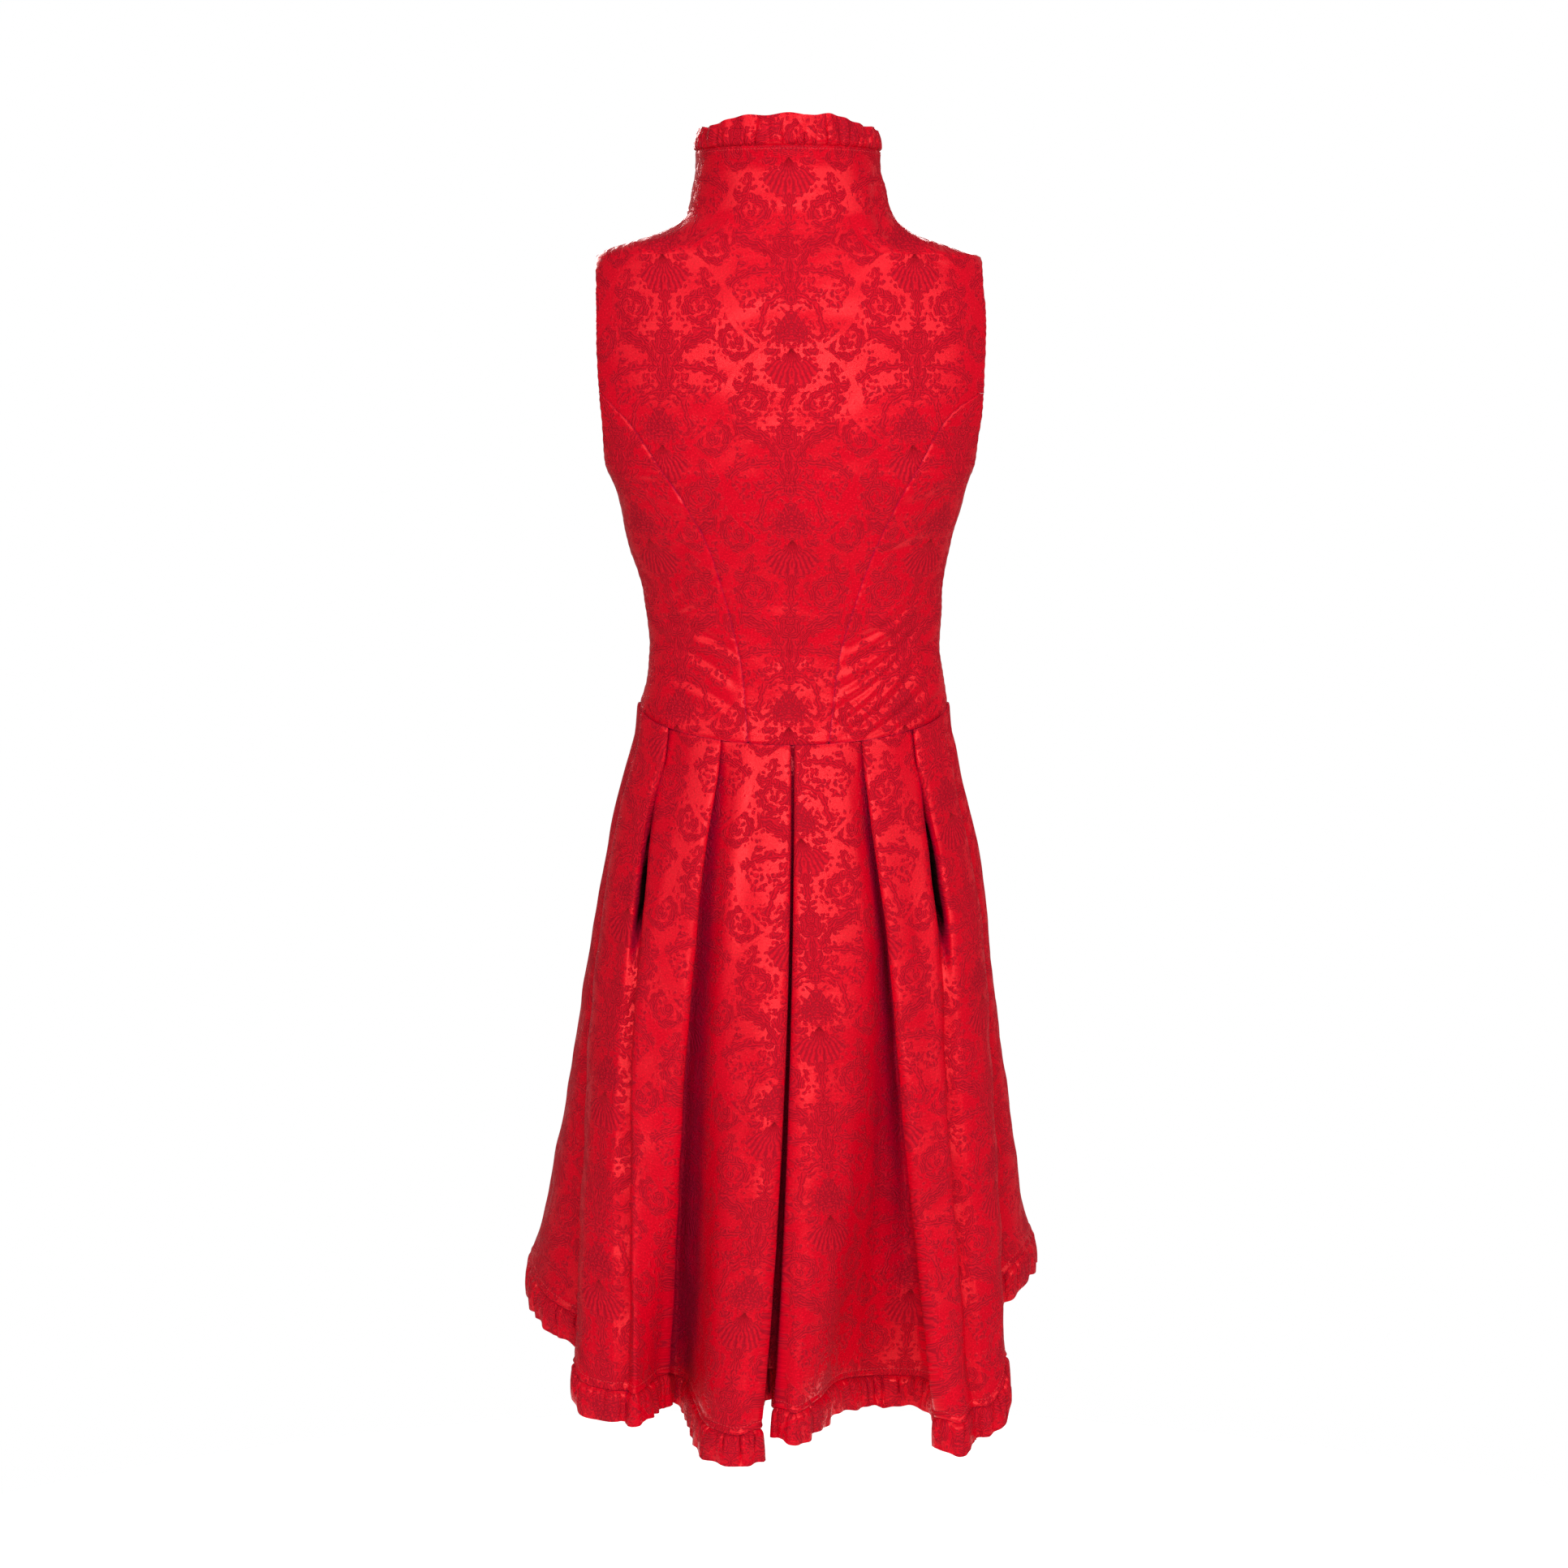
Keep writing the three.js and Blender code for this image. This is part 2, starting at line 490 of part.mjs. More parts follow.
// Centripetal spline through points, with each span's own number of steps
function spline(points, steps) {
  const out = [];
  const knot = (a, b) => Math.max(a.distanceTo(b) ** 0.5, 1e-3);
  for (let i = 0; i < points.length - 1; i += 1) {
    const b = points[i];
    const c = points[i + 1];
    const a = i > 0 ? points[i - 1] : b.clone().multiplyScalar(2).sub(c);
    const d = i + 2 < points.length ? points[i + 2] : c.clone().multiplyScalar(2).sub(b);
    const [ab, bc, cd] = [knot(a, b), knot(b, c), knot(c, d)];
    const slopeB = c.clone().sub(b).divideScalar(bc)
      .sub(c.clone().sub(a).divideScalar(ab + bc))
      .add(b.clone().sub(a).divideScalar(ab)).multiplyScalar(bc);
    const slopeC = c.clone().sub(b).divideScalar(bc)
      .sub(d.clone().sub(b).divideScalar(bc + cd))
      .add(d.clone().sub(c).divideScalar(cd)).multiplyScalar(bc);
    for (let k = 0; k < steps[i]; k += 1) {
      const s = k / steps[i];
      const s2 = s * s;
      const s3 = s2 * s;
      out.push(b.clone().multiplyScalar(2 * s3 - 3 * s2 + 1).addScaledVector(slopeB, s3 - 2 * s2 + s)
        .addScaledVector(c, 3 * s2 - 2 * s3).addScaledVector(slopeC, s3 - s2));
    }
  }
  out.push(points.at(-1).clone());
  return out;
}

const STEPS = LEVELS[0].map((c) => c.steps);
const SPLITS = LEVELS[0].flatMap((c, i) => (c.inner ? [i] : []));

// Columns where the side seams lie, inside the outermost pleats of the back
const countTo = (control) => STEPS.slice(0, control).reduce((sum, n) => sum + n, 0);
const frontPleats = SKIRT.filter((row) => row.over && row.front).length / 2;
const leftSeam = countTo(SPLITS[frontPleats]);
const rightSeam = countTo(SPLITS[SPLITS.length - 1 - frontPleats]);

// Height of the skirt's top edge, just under the waist seam of the bodice
function waistHeight(p) {
  const share = Math.sqrt(Math.max(1 - (p.x / half[p.x < 0 ? -1 : 1](WAIST_Z)) ** 2, 0));
  return WAIST_Z - SEAM_GAP - share * (p.y > 0 ? BACK_DIP : FRONT_DIP);
}

// Rings of the skirt from the hem up to the waist
const waistLine = spline(skirtControls(0), STEPS).map(waistHeight);
const skirtRing = SKIRT_ROWS.map((t) => spline(skirtControls(t), STEPS)
  .map((p, j) => p.setZ(waistLine[j] + (p.z - waistLine[j]) * t))).reverse();
const ringNormals = gridNormals(skirtRing);

function drawIn(row, from, to, by) {
  const piece = row.slice(from, to + 1).map((p) => p.clone());
  const pull = (p, towards) => p.add(towards.clone().sub(p).setLength(by));
  pull(piece[0], piece[1]);
  pull(piece.at(-1), piece.at(-2));
  return piece;
}

function skirtPiece(name, from, to) {
  const grid = skirtRing.map((row) => drawIn(row, from, to, seam));
  const normals = ringNormals.map((row) => row.slice(from, to + 1));
  return wall(name, offset(grid, normals, SKIRT_WALL / 2), offset(grid, normals, -SKIRT_WALL / 2),
    CLOTH_COLOUR);
}

// Points at even steps along a line of points that carry a direction each
function resample(line, count) {
  const length = [0];
  for (let i = 1; i < line.length; i += 1) length.push(length[i - 1] + line[i].at.distanceTo(line[i - 1].at));
  const out = [];
  let i = 0;
  for (let k = 0; k <= count; k += 1) {
    const at = length.at(-1) * k / count;
    while (i < line.length - 2 && at > length[i + 1]) i += 1;
    const s = (at - length[i]) / (length[i + 1] - length[i]);
    out.push({
      at: line[i].at.clone().lerp(line[i + 1].at, s),
      out: line[i].out.clone().lerp(line[i + 1].out, s).normalize(),
      fall: line[i].fall.clone().lerp(line[i + 1].fall, s),
    });
  }
  return out;
}

// Gathered strip: root and edge rows waved along the outward direction, four points to a wave
function ruffle(name, line, waves, root, crest, rootFirst) {
  const columns = resample(line, waves * 4);
  const room = columns.map((c, j) => {
    const before = c.at.clone().sub(columns[Math.max(j - 2, 0)].at);
    const after = columns[Math.min(j + 2, columns.length - 1)].at.clone().sub(c.at);
    return Math.max(before.length(), after.length()) / Math.max(before.angleTo(after), 0.05);
  });
  const row = (share, size) => columns.map((c, j) => {
    const end = Math.min(j, columns.length - 1 - j, 10) / 10;
    const swing = [0, 1, 0, -1][j % 4] * Math.min(size, room[j] * 0.35) * end;
    return c.at.clone().addScaledVector(c.fall, share).addScaledVector(c.out, swing);
  });
  const grid = rootFirst ? [row(0, root), row(1, crest)] : [row(1, crest), row(0, root)];
  const normals = gridNormals(grid);
  return wall(name, offset(grid, normals, RUFFLE_WALL / 2), offset(grid, normals, -RUFFLE_WALL / 2),
    CLOTH_COLOUR);
}

function hemRuffle(name, from, to, waves) {
  const hem = drawIn(skirtRing[0], from, to, RUFFLE_WALL);
  const line = hem.map((p, i) => {
    const along = new THREE.Vector3().subVectors(
      hem[Math.min(i + 1, hem.length - 1)], hem[Math.max(i - 1, 0)]);
    const drop = HEM_RUFFLE.gap * along.length() / Math.hypot(along.x, along.y);
    const out = ringNormals[0][from + i].clone().setZ(0).normalize();
    const fall = new THREE.Vector3(0, 0, -HEM_RUFFLE.tall).addScaledVector(out, HEM_RUFFLE.flare);
    return { at: p.clone().setZ(p.z - drop), out, fall };
  });
  return ruffle(name, line, waves, HEM_RUFFLE.root, HEM_RUFFLE.crest, false);
}

// Neckline edge from the right front up, round the back collar and down the left front
function neckLine(backGrid, leftGrid, rightGrid) {
  const edge = [];
  const add = (grid, i, j) => edge.push({ at: grid.points[i][j].clone(), out: grid.normals[i][j] });
  const low = FRONT_ROWS.findIndex((z) => front.neck(z) > 0) - 1;
  const last = rightGrid.points[0].length - 1;
  const top = backGrid.points.length - 1;
  for (let i = low; i < FRONT_ROWS.length; i += 1) add(rightGrid, i, last);
  for (let j = backGrid.points[top].length - 1; j >= 0; j -= 1) add(backGrid, top, j);
  for (let i = FRONT_ROWS.length - 1; i >= low; i -= 1) add(leftGrid, i, 0);
  edge[0].at.x -= RUFFLE_WALL;
  edge.at(-1).at.x += RUFFLE_WALL;
  const end = edge.length - 1;
  return edge.map((e, i) => {
    const reach = Math.min(2, Math.max(i, 1), Math.max(end - i, 1));
    const along = new THREE.Vector3().subVectors(
      edge[Math.min(i + reach, end)].at, edge[Math.max(i - reach, 0)].at);
    const share = smooth((e.at.z + 158) / 200);
    const arch = 1 - NECK_RUFFLE.side * smooth((Math.abs(e.at.x) - 25) / 50);
    const tall = (NECK_RUFFLE.low + (NECK_RUFFLE.tall - NECK_RUFFLE.low) * share) * arch;
    const fall = new THREE.Vector3().crossVectors(along, e.out).normalize();
    if (i === 0 || i === end) fall.setX(0).normalize();
    const skin = e.at.clone().addScaledVector(e.out, -BODICE_WALL / 2).addScaledVector(fall, NECK_RUFFLE.gap);
    fall.addScaledVector(e.out, -NECK_RUFFLE.lean).setLength(tall);
    return { at: skin, out: e.out, fall };
  });
}

const backGrid = backPanelGrid(13);
const leftGrid = frontGrid(1, 9);
const rightGrid = frontGrid(-1, 9);

const dirndl = new THREE.Group();
dirndl.add(bodicePiece("back_panel", backGrid));
dirndl.add(bodicePiece("side_back_left", sideBackGrid(1, 6)));
dirndl.add(bodicePiece("side_back_right", sideBackGrid(-1, 6)));
dirndl.add(bodicePiece("front_left", leftGrid));
dirndl.add(bodicePiece("front_right", rightGrid));
dirndl.add(skirtPiece("skirt_front_left", 0, leftSeam));
dirndl.add(skirtPiece("skirt_back", leftSeam, rightSeam));
dirndl.add(skirtPiece("skirt_front_right", rightSeam, skirtRing[0].length - 1));
dirndl.add(ruffle("neck_ruffle", neckLine(backGrid, leftGrid, rightGrid), NECK_RUFFLE.waves,
  NECK_RUFFLE.root, NECK_RUFFLE.crest, true));
dirndl.add(hemRuffle("hem_ruffle_front_left", 0, leftSeam, 32));
dirndl.add(hemRuffle("hem_ruffle_back", leftSeam, rightSeam, 66));
dirndl.add(hemRuffle("hem_ruffle_front_right", rightSeam, skirtRing[0].length - 1, 31));

export default dirndl;
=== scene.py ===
import math
import bpy
import numpy as np
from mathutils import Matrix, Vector
from mathutils.bvhtree import BVHTree


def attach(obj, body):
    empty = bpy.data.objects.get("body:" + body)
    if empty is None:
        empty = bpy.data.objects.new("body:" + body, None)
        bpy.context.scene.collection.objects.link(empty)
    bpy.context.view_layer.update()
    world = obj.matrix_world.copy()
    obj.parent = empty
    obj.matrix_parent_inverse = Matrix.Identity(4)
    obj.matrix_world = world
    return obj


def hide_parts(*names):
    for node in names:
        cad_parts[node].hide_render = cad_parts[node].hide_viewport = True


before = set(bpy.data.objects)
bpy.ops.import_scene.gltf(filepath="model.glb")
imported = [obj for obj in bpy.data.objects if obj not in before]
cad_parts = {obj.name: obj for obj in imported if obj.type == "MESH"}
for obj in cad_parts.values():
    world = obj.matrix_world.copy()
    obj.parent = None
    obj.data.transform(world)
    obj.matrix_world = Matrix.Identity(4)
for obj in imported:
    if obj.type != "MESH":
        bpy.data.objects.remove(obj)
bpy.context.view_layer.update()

# Shape, in millimetres, with the names of the part's own tables
BODICE_WALL, SKIRT_WALL, RUFFLE_WALL = 1.4, 1.2, 1.1
SEAM = 0.02
WAIST_Z, BACK_TOP, FRONT_TOP = -373, 87, 82
BACK_DIP, FRONT_DIP, DIP_FADE = 29, 15, 53
CUP_X, CUP_Z, CUP_WIDE, CUP_HIGH, CUP_OUT = 72, -222, 40, 40, 13
WAIST_BACK, WAIST_FRONT = 76.5, 99
MID = 0.45
ROLL = [1.4, 4, 8]
UNDER_SHARE = [0, 0, 0.1, 0.35, 0.5, 0.7, 1]
FOLD_POINTS, INNER_FOLD = 7, 4
ARMHOLE_SEAM_Z = -113
NECK_TALL, NECK_LOW, NECK_SIDE, NECK_LEAN, NECK_GAP = 25, 11, 0.28, 0.2, 0.6
NECKLINE_Z, NECK_RISE, NECK_BACK_X, NECK_FADE = -158, 200, 25, 50
TUCK_BEHIND = 0.1
HEM_TALL, HEM_FLARE, HEM_GAP = 25, 2, 1
HEM_STITCH, COLLAR_STITCH = 5.2, 2.4
# Slits at the hips: depth, and the shares of the skirt's height where they start and end
HIP_SLIT, SLIT_TOP, SLIT_END = 30, 0.05, 0.38
SLIT_BEHIND, SLIT_BEFORE = 3, 6
# Relief of the worn cloth, and how much painted shade its seams, waist, creases and slits get
DRIFT, SEAM_DEEP, WAIST_DEEP, PUCKER = 1.4, 0.8, 0.5, 0.22
SEAM_SHADE, WAIST_SHADE, CREASE_SHADE, SLIT_SHADE = 0.6, 0.5, 0.3, 0.7


def table(names, rows):
    """Rows from low to high, as one array for each named column"""
    rows = sorted(rows)
    return {n: np.array([r[i] for r in rows], float) for i, n in enumerate(names.split())}


SIDES = table("z left right", [
    (87, 81, 74.5), (72, 80.6, 75), (54, 83.4, 79), (43, 86, 81), (37, 88.2, 84),
    (32, 91.6, 87), (27, 98.4, 92), (21, 108.6, 100), (16, 123, 110), (11, 141, 126),
    (5, 157, 143), (0, 163.5, 158), (-25, 162.6, 160.4), (-50, 162.6, 162), (-103, 160.4, 160.5),
    (-143, 157.2, 157), (-170, 154.8, 153.6), (-197, 146.6, 145.6), (-238, 137.6, 134.4),
    (-279, 125.4, 127.6), (-321, 120.3, 126.2), (-348, 122.4, 128.8), (-373, 128.8, 132.4),
])

BACK = table("z deep arm square", [
    (87, 71, 0, 1), (66, 67, 0, 1), (40, 68, 0, 1), (18, 74, 0, 1), (0, 81, 0.05, 1.15),
    (-4, 82, 10, 1.2), (-10, 83.6, 17, 1.26), (-20, 86.3, 25, 1.32), (-45, 92, 36, 1.4),
    (-80, 97, 43, 1.4), (-117, 100, 45, 1.4), (-150, 99, 37, 1.3), (-165, 97.6, 27, 1.2),
    (-175, 96.6, 15, 1.08), (-179, 96.2, 7.5, 1.02), (-181, 96, 0, 1), (-215, 90, 0, 1),
    (-250, 82, 0, 1), (-290, 73, 0, 1), (-325, 69, 0, 1), (-350, 70, 0, 1), (-373, 74, 0, 1),
])

FRONT = table("z deep arm square neck", [
    (87, 66, 0, 1, 80), (80, 66, 0, 1, 74), (70, 66, 0, 1, 69), (60, 66, 0, 1, 65.5),
    (40, 67, 0, 1, 62), (18, 67, 0, 1, 61), (0, 68, 0.05, 1.1, 60), (-4, 69, 9, 1.13, 59.5),
    (-10, 70.5, 15, 1.16, 58.6), (-20, 73, 21, 1.2, 57), (-70, 88, 34, 1.2, 47),
    (-117, 104, 38, 1.15, 35), (-145, 112, 34.5, 1.1, 23.5), (-153, 114.5, 32, 1.08, 15.5),
    (-157, 115.7, 30, 1.06, 7), (-158, 116, 29.5, 1.06, 0), (-166, 118, 24.5, 1.02, 0),
    (-175, 120, 14.5, 0.95, 0), (-179, 120.7, 7.5, 0.92, 0), (-181, 121, 0, 0.9, 0),
    (-215, 125, 0, 0.85, 0), (-250, 119, 0, 0.9, 0), (-290, 103, 0, 1, 0), (-325, 94, 0, 1, 0),
    (-350, 93, 0, 1, 0), (-373, 97, 0, 1, 0),
])

# How far the sides of the body fill out behind and before the armholes, away from their edges
SWELL = table("z back front", [
    (70, 0, 0), (35, 3, 2), (0, 12, 8), (-45, 32, 26), (-85, 41, 34), (-117, 42, 35),
    (-150, 36, 32), (-181, 25, 23), (-215, 12, 12), (-262, 0, 0),
])

PRINCESS = table("z left right", [
    (-108, 162, 162), (-116, 155, 151), (-125, 146, 137), (-139, 132, 124), (-167, 113, 108),
    (-207, 86, 85), (-246, 66, 67), (-279, 56, 55), (-314, 47, 44), (-340, 40.5, 37),
    (-373, 36, 31),
])

SKIRT_SIDES = table("z left right", [
    (-373, 130.6, 134.2), (-396, 132.4, 136.2), (-410, 136, 139.6), (-438, 144, 144.6),
    (-466, 151, 151.6), (-522, 161.5, 163.6), (-577, 171.8, 170.6), (-634, 181.6, 176.4),
    (-690, 190, 183.6), (-747, 200.6, 191.6), (-804, 211.8, 198.5), (-834, 218.6, 202.5),
    (-854, 225, 207.5),
])

# One row for each control point round the skirt, from the centre front towards the left; a row
# with the second line of columns is a pleat: which way it turns, how far it tucks and how deep it
# sinks at the waist, half way and at the hem, its turn towards the middle, and its underside's hem
SKIRT_COLUMNS = ("front waist_x layer mid_x mid_y hem_x hem_y hem_z"
                 " over waist_tuck mid_tuck hem_tuck mid_sink hem_sink turn under_z").split()
SKIRT = [dict(zip(SKIRT_COLUMNS, row)) for row in [
    (1, 0, 0, 0, -133, 0, -164, -825),
    (1, 17, 0, 26, -135, 32, -168, -825),
    (1, 35, 0, 50, -131, 62, -163, -826, -1, 10, 9, 12, 18, 36, 0.7, -827),
    (1, 52, 0.5, 76, -122, 97, -150, -827),
    (1, 70, 0, 98, -113, 126, -138, -828, -1, 10, 9, 12, 18, 36, 0.8, -830),
    (1, 88, 0.5, 122, -99, 158, -116, -831),
    (1, 104, 0, 142, -83, 184, -94, -834, -1, 10, 9, 12, 18, 36, 0.9, -838),
    (1, 121, 0.7, 164, -46, 213, -48, -844),
    (1, 130, 0, 174, -8, 225, 2, -857),
    (0, 129.6, 1, 170, 16, 206, 56, -873),
    (0, 126.5, 0, 170, 40, 185, 110, -915, 1, 12, 14, 20, 17, 34, 0.8, -890),
    (0, 118, 0, 162, 64, 172, 132, -924),
    (0, 104, 0, 141, 86, 146, 146, -928, -1, 12, -7, -8, 9, 8, 1, -929),
    (0, 82, 0.35, 112, 105, 121, 137, -928),
    (0, 59, 0, 87, 112, 104, 112, -926, -1, 14, 12, 14, 34, 50, 0.15, -938),
    (0, 46, 1.3, 74, 94, 91, 65, -941),
    (0, 38, 0.9, 62, 112, 81, 108, -947),
    (0, 28, 0.6, 48, 122, 66, 169, -952),
    (0, 15, 0.3, 27, 129, 43, 185, -954),
    (0, 0.8, 0, 5, 129, 25, 181, -951, -1, 12, 16, 20, 36, 92, 0, -927),
    (0, -2.8, 0, 0.5, 127, 14, 172, -936, 1, 12, 14, 13, 36, 84, 0, -926),
    (0, -17, 0.3, -21, 128, -2, 177, -938),
    (0, -29, 0.6, -46, 120, -19, 157, -934),
    (0, -38, 0.9, -64, 106, -39, 102, -932),
    (0, -46, 1.3, -77, 90, -72, 70, -937),
    (0, -59, 0, -88, 111, -119, 150, -951, 1, 14, 12, 10, 34, 76, 0.15, -938),
    (0, -80, 0.35, -112, 102, -139, 151, -954),
    (0, -103, 0, -139, 86, -160, 134, -945, 1, 10, -7, -7, 9, 7, 1, -947),
    (0, -118, 0, -160, 63, -176, 118, -929),
    (0, -129, 0, -167, 38, -184, 98, -913, -1, 10, 14, 20, 17, 34, 0.8, -870),
    (0, -133, 1, -167, 14, -193, 44, -842),
    (1, -133.8, 0, -171, -8, -207.5, -4, -835),
    (1, -124, 0.7, -161, -46, -198, -50, -831),
    (1, -106, 0, -140, -83, -176, -95, -829, 1, 10, 9, 12, 18, 36, 0.9, -830),
    (1, -89, 0.5, -120, -99, -152, -117, -828),
    (1, -71, 0, -96, -113, -122, -138, -827, 1, 10, 9, 12, 18, 36, 0.8, -828),
    (1, -53, 0.5, -75, -122, -94, -150, -826),
    (1, -36, 0, -49, -131, -60, -163, -826, 1, 10, 9, 12, 18, 36, 0.7, -826),
    (1, -17, 0, -26, -135, -32, -168, -825),
    (1, -0.1, 0, 0, -133, 0, -164, -825),
]]


# Shape functions

def column(rows, key):
    """A monotone cubic curve through one column of a table"""
    x, y = rows["z"], rows[key]
    h = np.diff(x)
    slope = np.diff(y) / h
    before = np.concatenate([slope[:1], slope])
    after = np.concatenate([slope, slope[-1:]])
    product = before * after
    total = np.where(product > 0, before + after, 1)
    tangent = np.where(product > 0, 2 * product / total, 0)

    def at(z):
        z = np.clip(z, x[0], x[-1])
        i = np.clip(np.searchsorted(x, z, side="left") - 1, 0, len(h) - 1)
        s = (z - x[i]) / h[i]
        return ((2 * s**3 - 3 * s**2 + 1) * y[i] + (s**3 - 2 * s**2 + s) * h[i] * tangent[i]
                + (3 * s**2 - 2 * s**3) * y[i + 1] + (s**3 - s**2) * h[i] * tangent[i + 1])
    return at


half = {1: column(SIDES, "left"), -1: column(SIDES, "right")}
seam_half = {1: column(PRINCESS, "left"), -1: column(PRINCESS, "right")}
back = {k: column(BACK, k) for k in ("deep", "arm", "square")}
front = {k: column(FRONT, k) for k in ("deep", "arm", "square", "neck")}
swell = {k: column(SWELL, k) for k in ("back", "front")}


def smooth(v):
    s = np.clip(v, 0, 1)
    return s * s * (3 - 2 * s)


def xyz(x, y, z):
    return np.stack(np.broadcast_arrays(x, y, z), -1)


def depth_at(shape, fill, c, z):
    """Half-depth of the body: the armhole's own curve counts only close to its edge"""
    flat = 1 - c ** shape["square"](z)
    body = fill(z)
    return shape["deep"](z) * (1 - flat) + body * flat + (shape["arm"](z) - body) * flat**6


def back_at(turn, z):
    side = np.where(turn < 0, 1, -1)
    angle = np.abs(turn) * math.pi / 2
    c = np.maximum(np.cos(angle), 0)
    wide = np.where(turn < 0, half[1](z), half[-1](z))
    y = depth_at(back, swell["back"], c, z)
    dip = BACK_DIP * c * smooth((WAIST_Z + DIP_FADE - z) / DIP_FADE)
    return xyz(side * wide * np.sin(angle), y, z - dip)


def front_at(turn, z):
    side = np.where(turn < 0, -1, 1)
    angle = np.abs(turn) * math.pi / 2
    c = np.maximum(np.cos(angle), 0)
    x = np.where(turn < 0, half[-1](z), half[1](z)) * np.sin(angle)
    cup = CUP_OUT * np.exp(-(((x - CUP_X) / CUP_WIDE) ** 2 + ((z - CUP_Z) / CUP_HIGH) ** 2) / 2)
    y = depth_at(front, swell["front"], c, z) + cup * c
    dip = FRONT_DIP * c * smooth((WAIST_Z + DIP_FADE - z) / DIP_FADE)
    return xyz(side * x, -y, z - dip)


def turn_at(side, x, z):
    return math.asin(min(x / float(half[side](z)), 1)) / (math.pi / 2)


def princess_turn(side, z):
    if z > ARMHOLE_SEAM_Z:
        return 1
    return min(turn_at(side, float(seam_half[side](z)), z), 0.95)


def unit(v):
    return v / np.maximum(np.linalg.norm(v, axis=-1, keepdims=True), 1e-9)


def surface_normal(at, turn, z):
    e = 0.01
    along = at(np.minimum(turn + e, 1), z) - at(np.maximum(turn - e, -1), z)
    normal = unit(np.cross(along, at(turn, z + 2) - at(turn, z - 2)))
    p = at(turn, z)
    flip = normal[..., 0] * p[..., 0] + normal[..., 1] * p[..., 1] < 0
    return np.where(flip[..., None], -normal, normal)


def grid_normals(grid):
    return unit(np.cross(np.gradient(grid, axis=1), np.gradient(grid, axis=0)))


# Distances from a seam of the closest points, since the cloth dips into its seams
EDGE = np.array([0, 0.7, 1.5, 2.4, 3.6, 5.2, 7.4])


def spread(length, count):
    middle = np.linspace(EDGE[-1], length - EDGE[-1], count)[1:-1]
    return np.concatenate([EDGE, middle, length - EDGE[::-1]])


def arc(points):
    step = np.linalg.norm(np.diff(points, axis=-2), axis=-1)
    return np.concatenate([np.zeros(step.shape[:-1] + (1,)), np.cumsum(step, -1)], -1)


def climb(grid):
    """Distance along each column of a grid, from its first row"""
    step = np.linalg.norm(np.diff(grid, axis=0), axis=-1)
    return np.concatenate([np.zeros((1, grid.shape[1])), np.cumsum(step, 0)])


def section(at, z, start, end, count):
    """Points, normals and distances of one row of cloth between two turns about the body"""
    turns = np.linspace(start, end, 400)
    length = arc(at(turns, np.full(400, float(z))))
    total = length[-1] - 2 * SEAM
    where = spread(total, count) if total > 30 else np.linspace(0, total, count + 2 * len(EDGE) - 2)
    turn = np.interp(where + SEAM, length, turns)
    zs = np.full(len(turn), float(z))
    return at(turn, zs), surface_normal(at, turn, zs), where


def drift(p):
    """Soft unevenness of the worn cloth, the same for neighbouring pieces"""
    x, y, z = p[..., 0], p[..., 1], p[..., 2]
    return (0.5 * np.sin(0.031 * x + 0.047 * z + 1.3) * np.sin(0.042 * z - 0.036 * y + 0.4)
            + 0.3 * np.sin(0.083 * x - 0.051 * z + 2.1) * np.cos(0.066 * z + 0.07 * y)
            + 0.14 * np.sin(0.17 * x + 0.11 * z) * np.sin(0.15 * z - 0.13 * y + 0.8))


# Creases of the bodice: which side of the body, ends (x, z), half-width and depth
BACK_CREASES = [
    (-36, -388, -84, -346, 2.6, 1.7), (-46, -392, -104, -340, 3.2, 2.1),
    (-62, -396, -122, -344, 3.0, 1.8), (-38, -372, -98, -322, 2.8, 2.0),
    (-40, -356, -112, -300, 3.4, 2.2), (-44, -338, -118, -284, 3.6, 1.7),
    (-52, -318, -114, -272, 3.4, 1.2), (-84, -392, -128, -362, 3.0, 1.5),
    (-74, -350, -124, -316, 2.4, 1.2), (50, -216, 96, -242, 4.5, 1.0), (56, -262, 102, -290, 4.5, 1.3),
    (60, -288, 112, -306, 4.0, 1.2), (52, -322, 112, -300, 3.6, 1.2), (46, -352, 112, -318, 3.6, 1.4),
    (44, -376, 118, -342, 4.0, 1.5), (42, -330, 84, -312, 3.0, 0.9), (-62, -246, -118, -230, 4.5, 1.1),
    (-84, -206, -134, -190, 5.0, 1.0), (78, -200, 130, -184, 5.0, 1.0), (-22, -330, 24, -336, 5.0, 0.7),
    (-26, -292, 30, -286, 6.0, 0.6), (-66, 74, -60, 30, 3.6, -0.6), (-70, 66, -72, 34, 3.4, 0.7),
    (-66, 40, -98, -2, 3.6, 1.3), (-84, 20, -126, -8, 3.6, 1.3), (-52, 22, -104, -18, 4.0, 1.0),
    (66, 20, 118, -2, 4.5, 0.9), (58, 30, 84, 6, 4.0, 0.8), (-34, 44, 30, 52, 6, 0.6),
    (-40, 6, 34, 12, 7, 0.6), (-70, -60, 40, -48, 9, 0.6), (30, -90, 110, -110, 9, 0.7),
    (-120, -80, -50, -106, 9, 0.7),
]
FRONT_CREASES = [
    (26, -176, 62, -204, 4.5, 1.4), (-24, -178, -58, -206, 4.5, 1.3), (40, -372, 104, -330, 3.6, 1.7),
    (-46, -372, -108, -326, 3.6, 1.8), (20, -380, 70, -345, 3.4, 1.2), (-22, -378, -66, -350, 3.4, 1.1),
    (92, -190, 140, -172, 4.0, 1.5), (-94, -192, -138, -170, 4.0, 1.3), (60, -262, 118, -290, 4.5, 1.2),
    (-62, -260, -116, -292, 4.5, 1.2), (4, -300, 60, -286, 5, 0.8), (-6, -320, -64, -302, 5, 0.9),
    (64, 30, 118, 2, 4.0, 1.1), (-62, 28, -112, 4, 4.0, 1.1), (96, -20, 120, -96, 6, 0.9),
    (-98, -24, -122, -90, 6, 0.8),
]


